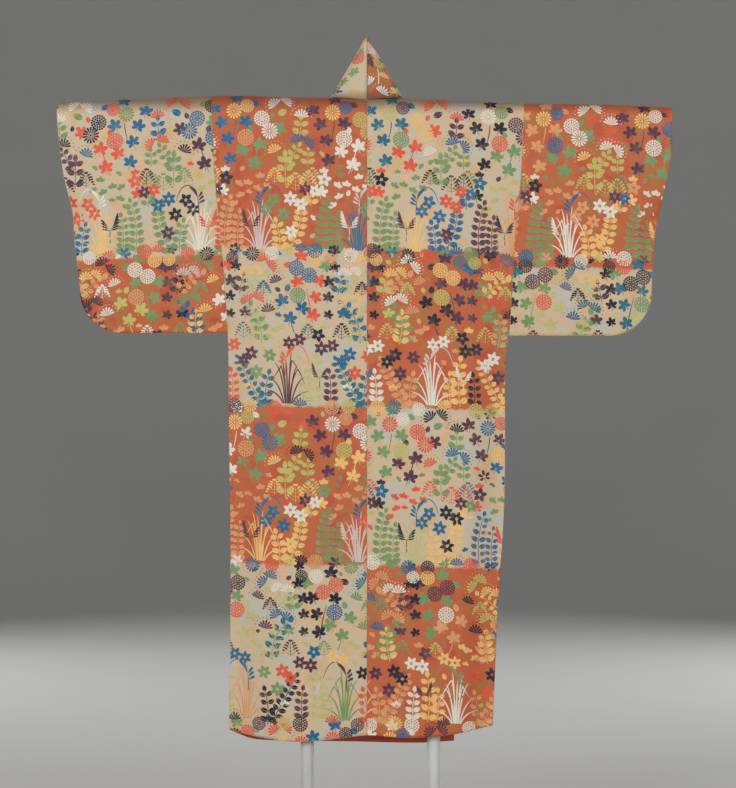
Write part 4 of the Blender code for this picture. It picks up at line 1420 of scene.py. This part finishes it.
class SewCollar(bpy.types.Operator):
    """Make the two halves of the collar"""

    bl_idname = "robe.sew_collar"
    bl_label = "Sew the collar"

    def execute(self, context):
        settings = context.scene.robe_cloth
        for side in SIGN:
            surface = Collar(side)
            b = np.linspace(0.0, surface.length, COLLAR_MESH_ROWS)[:, None]
            b = b + np.zeros(COLLAR_COLUMNS)
            parts = np.linspace(0.0, 1.0, COLLAR_COLUMNS)
            x = parts * np.interp(b, surface.at, surface.width)
            mesh = grid_mesh(f"collar_{side}_cloth", surface.place(x, b, np.zeros_like(b)),
                             np.stack([x, b * COLLAR_STRETCH + COLLAR_SHIFT[side]], axis=-1))
            face = mesh.polygons[0]
            if face.normal.dot(Vector(surface.normal[0, 0])) < 0:
                mesh.flip_normals()
            made = clothe(f"collar_{side}_cloth", mesh, COLLAR_WALL,
                          [cloth_look(settings, "collar_ground", settings.collar_red)] * 2)
            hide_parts(f"collar_{side}")
            cover("collar", side, surface)
        return {"FINISHED"}


class FinishStand(bpy.types.Operator):
    """Give the padded bar, the posts and the base plate their finishes"""

    bl_idname = "robe.finish_stand"
    bl_label = "Finish the stand"

    def execute(self, context):
        settings = context.scene.robe_stand
        looks = {"crossbar": cotton_look(),
                 "post": paint_look("post_paint", settings, 1.0, settings.peel),
                 "base": paint_look("base_paint", settings, 0.9, settings.peel * 0.7)}
        for name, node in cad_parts.items():
            for start, look in looks.items():
                if name.startswith(start):
                    for place in node.material_slots:
                        place.material = look
        return {"FINISHED"}


# Floor: how far it lies flat, radius of the bend into the wall, height of the wall's rim
FLOOR_REACH = 7.0
FLOOR_BEND = 3.0
WALL_RIM = 4.6
BEND_STEPS = 12

# Soft lights: name, which setting gives the power and how much of it, size, place
LIGHTS = (
    ("key", "key", 1.0, 2.4, (-3.0, -5.0, 2.5)), ("fill", "fill", 1.0, 3.0, (3.4, -4.8, 2.3)),
    ("left_side", "fill", 1.0, 2.4, (-3.4, 4.4, 2.5)),
    ("right_side", "fill", 1.1, 2.4, (3.4, 4.4, 2.5)),
)
LIT_POINT = (0.0, 0.0, 1.0)
CAMERA_PLACE = (0.008, -0.03, 1.071)


class SetStage(bpy.types.Operator):
    """Set the floor, the soft studio light and the camera"""

    bl_idname = "robe.set_stage"
    bl_label = "Set the stage"

    def execute(self, context):
        settings = context.scene.robe_stage
        scene = context.scene
        made = bmesh.new()
        bends = [math.pi / 2 * step / BEND_STEPS for step in range(BEND_STEPS + 1)]
        profile = [(0.02, 0.0), (2.0, 0.0), (4.0, 0.0)]
        profile += [(FLOOR_REACH + FLOOR_BEND * math.sin(bend), FLOOR_BEND * (1.0 - math.cos(bend)))
                    for bend in bends]
        profile.append((FLOOR_REACH + FLOOR_BEND, WALL_RIM))
        rim = [made.verts.new((out, 0.0, up)) for out, up in profile]
        edges = [made.edges.new(pair) for pair in zip(rim, rim[1:])]
        bmesh.ops.spin(made, geom=rim + edges, axis=(0, 0, 1), cent=(0, 0, 0), angle=math.tau,
                       steps=96, use_merge=True)
        bmesh.ops.holes_fill(made, edges=[edge for edge in made.edges if edge.is_boundary and
                                          edge.verts[0].co.length < 0.1], sides=0)
        bmesh.ops.recalc_face_normals(made, faces=made.faces)
        if min(made.faces, key=lambda face: face.calc_center_median().length).normal.z < 0:
            bmesh.ops.reverse_faces(made, faces=made.faces)
        mesh = bpy.data.meshes.new("studio_floor")
        made.to_mesh(mesh)
        made.free()
        mesh.shade_smooth()
        floor = new_object("studio_floor", mesh)
        look = Recipe("studio_paper")
        place = look.node("TexCoord").outputs["Object"]
        tone = look.mixed(look.noise(place, 1.5, 2.0), tuple(settings.floor),
                          tuple(value * 0.97 for value in settings.floor))
        mesh.materials.append(look.finish(Base_Color=tone, Roughness=0.9, Specular_IOR_Level=0.1))
        for name, power, share, size, place in LIGHTS:
            lamp = bpy.data.lights.new(name, "AREA")
            lamp.energy, lamp.size = getattr(settings, power) * share, size
            light = new_object(name, lamp)
            light.location = place
            light.visible_camera = False
            aim = Vector(LIT_POINT) - light.location
            light.rotation_euler = aim.to_track_quat("-Z", "Y").to_euler()
        world = bpy.data.worlds.new("studio")
        world.use_nodes = True
        sky = world.node_tree.nodes["Background"].inputs
        sky["Color"].default_value = (1.0, 0.99, 0.97, 1.0)
        sky["Strength"].default_value = 0.24
        scene.world = world
        camera = bpy.data.cameras.new("photo_view")
        camera.sensor_fit = "HORIZONTAL"
        camera.lens = camera.sensor_width * settings.distance / settings.frame_width
        scene.camera = new_object("photo_view", camera)
        x, y, z = CAMERA_PLACE
        scene.camera.location = (x, -settings.distance + y, z)
        scene.camera.rotation_euler = (math.pi / 2, 0.0, 0.0)
        scene.view_settings.view_transform = "Standard"
        return {"FINISHED"}


OPERATORS = (SewBodies, SewOverlaps, SewSleeves, SewCollar, FinishStand, SetStage)


class RobePanel(bpy.types.Panel):
    """Lists the robe's settings and steps"""

    bl_idname = "VIEW3D_PT_robe"
    bl_label = "Noh robe"
    bl_space_type = "VIEW_3D"
    bl_region_type = "UI"
    bl_category = "Robe"

    def draw(self, context):
        for group in (context.scene.robe_cloth, context.scene.robe_stand, context.scene.robe_stage):
            box = self.layout.box()
            for name in group.__annotations__:
                box.prop(group, name)
        for step in OPERATORS:
            self.layout.operator(step.bl_idname)


GROUPED = {"robe_cloth": RobeCloth, "robe_stand": RobeStand, "robe_stage": RobeStage}


def register():
    for group in (*GROUPED.values(), *OPERATORS, RobePanel):
        bpy.utils.register_class(group)
    for name, group in GROUPED.items():
        setattr(bpy.types.Scene, name, PointerProperty(type=group))


def unregister():
    for name in GROUPED:
        delattr(bpy.types.Scene, name)
    for group in (RobePanel, *reversed(OPERATORS), *reversed(GROUPED.values())):
        bpy.utils.unregister_class(group)


def main():
    register()
    for step in OPERATORS:
        area, name = step.bl_idname.split(".")
        getattr(getattr(bpy.ops, area), name)()


if __name__ == "__main__":
    main()
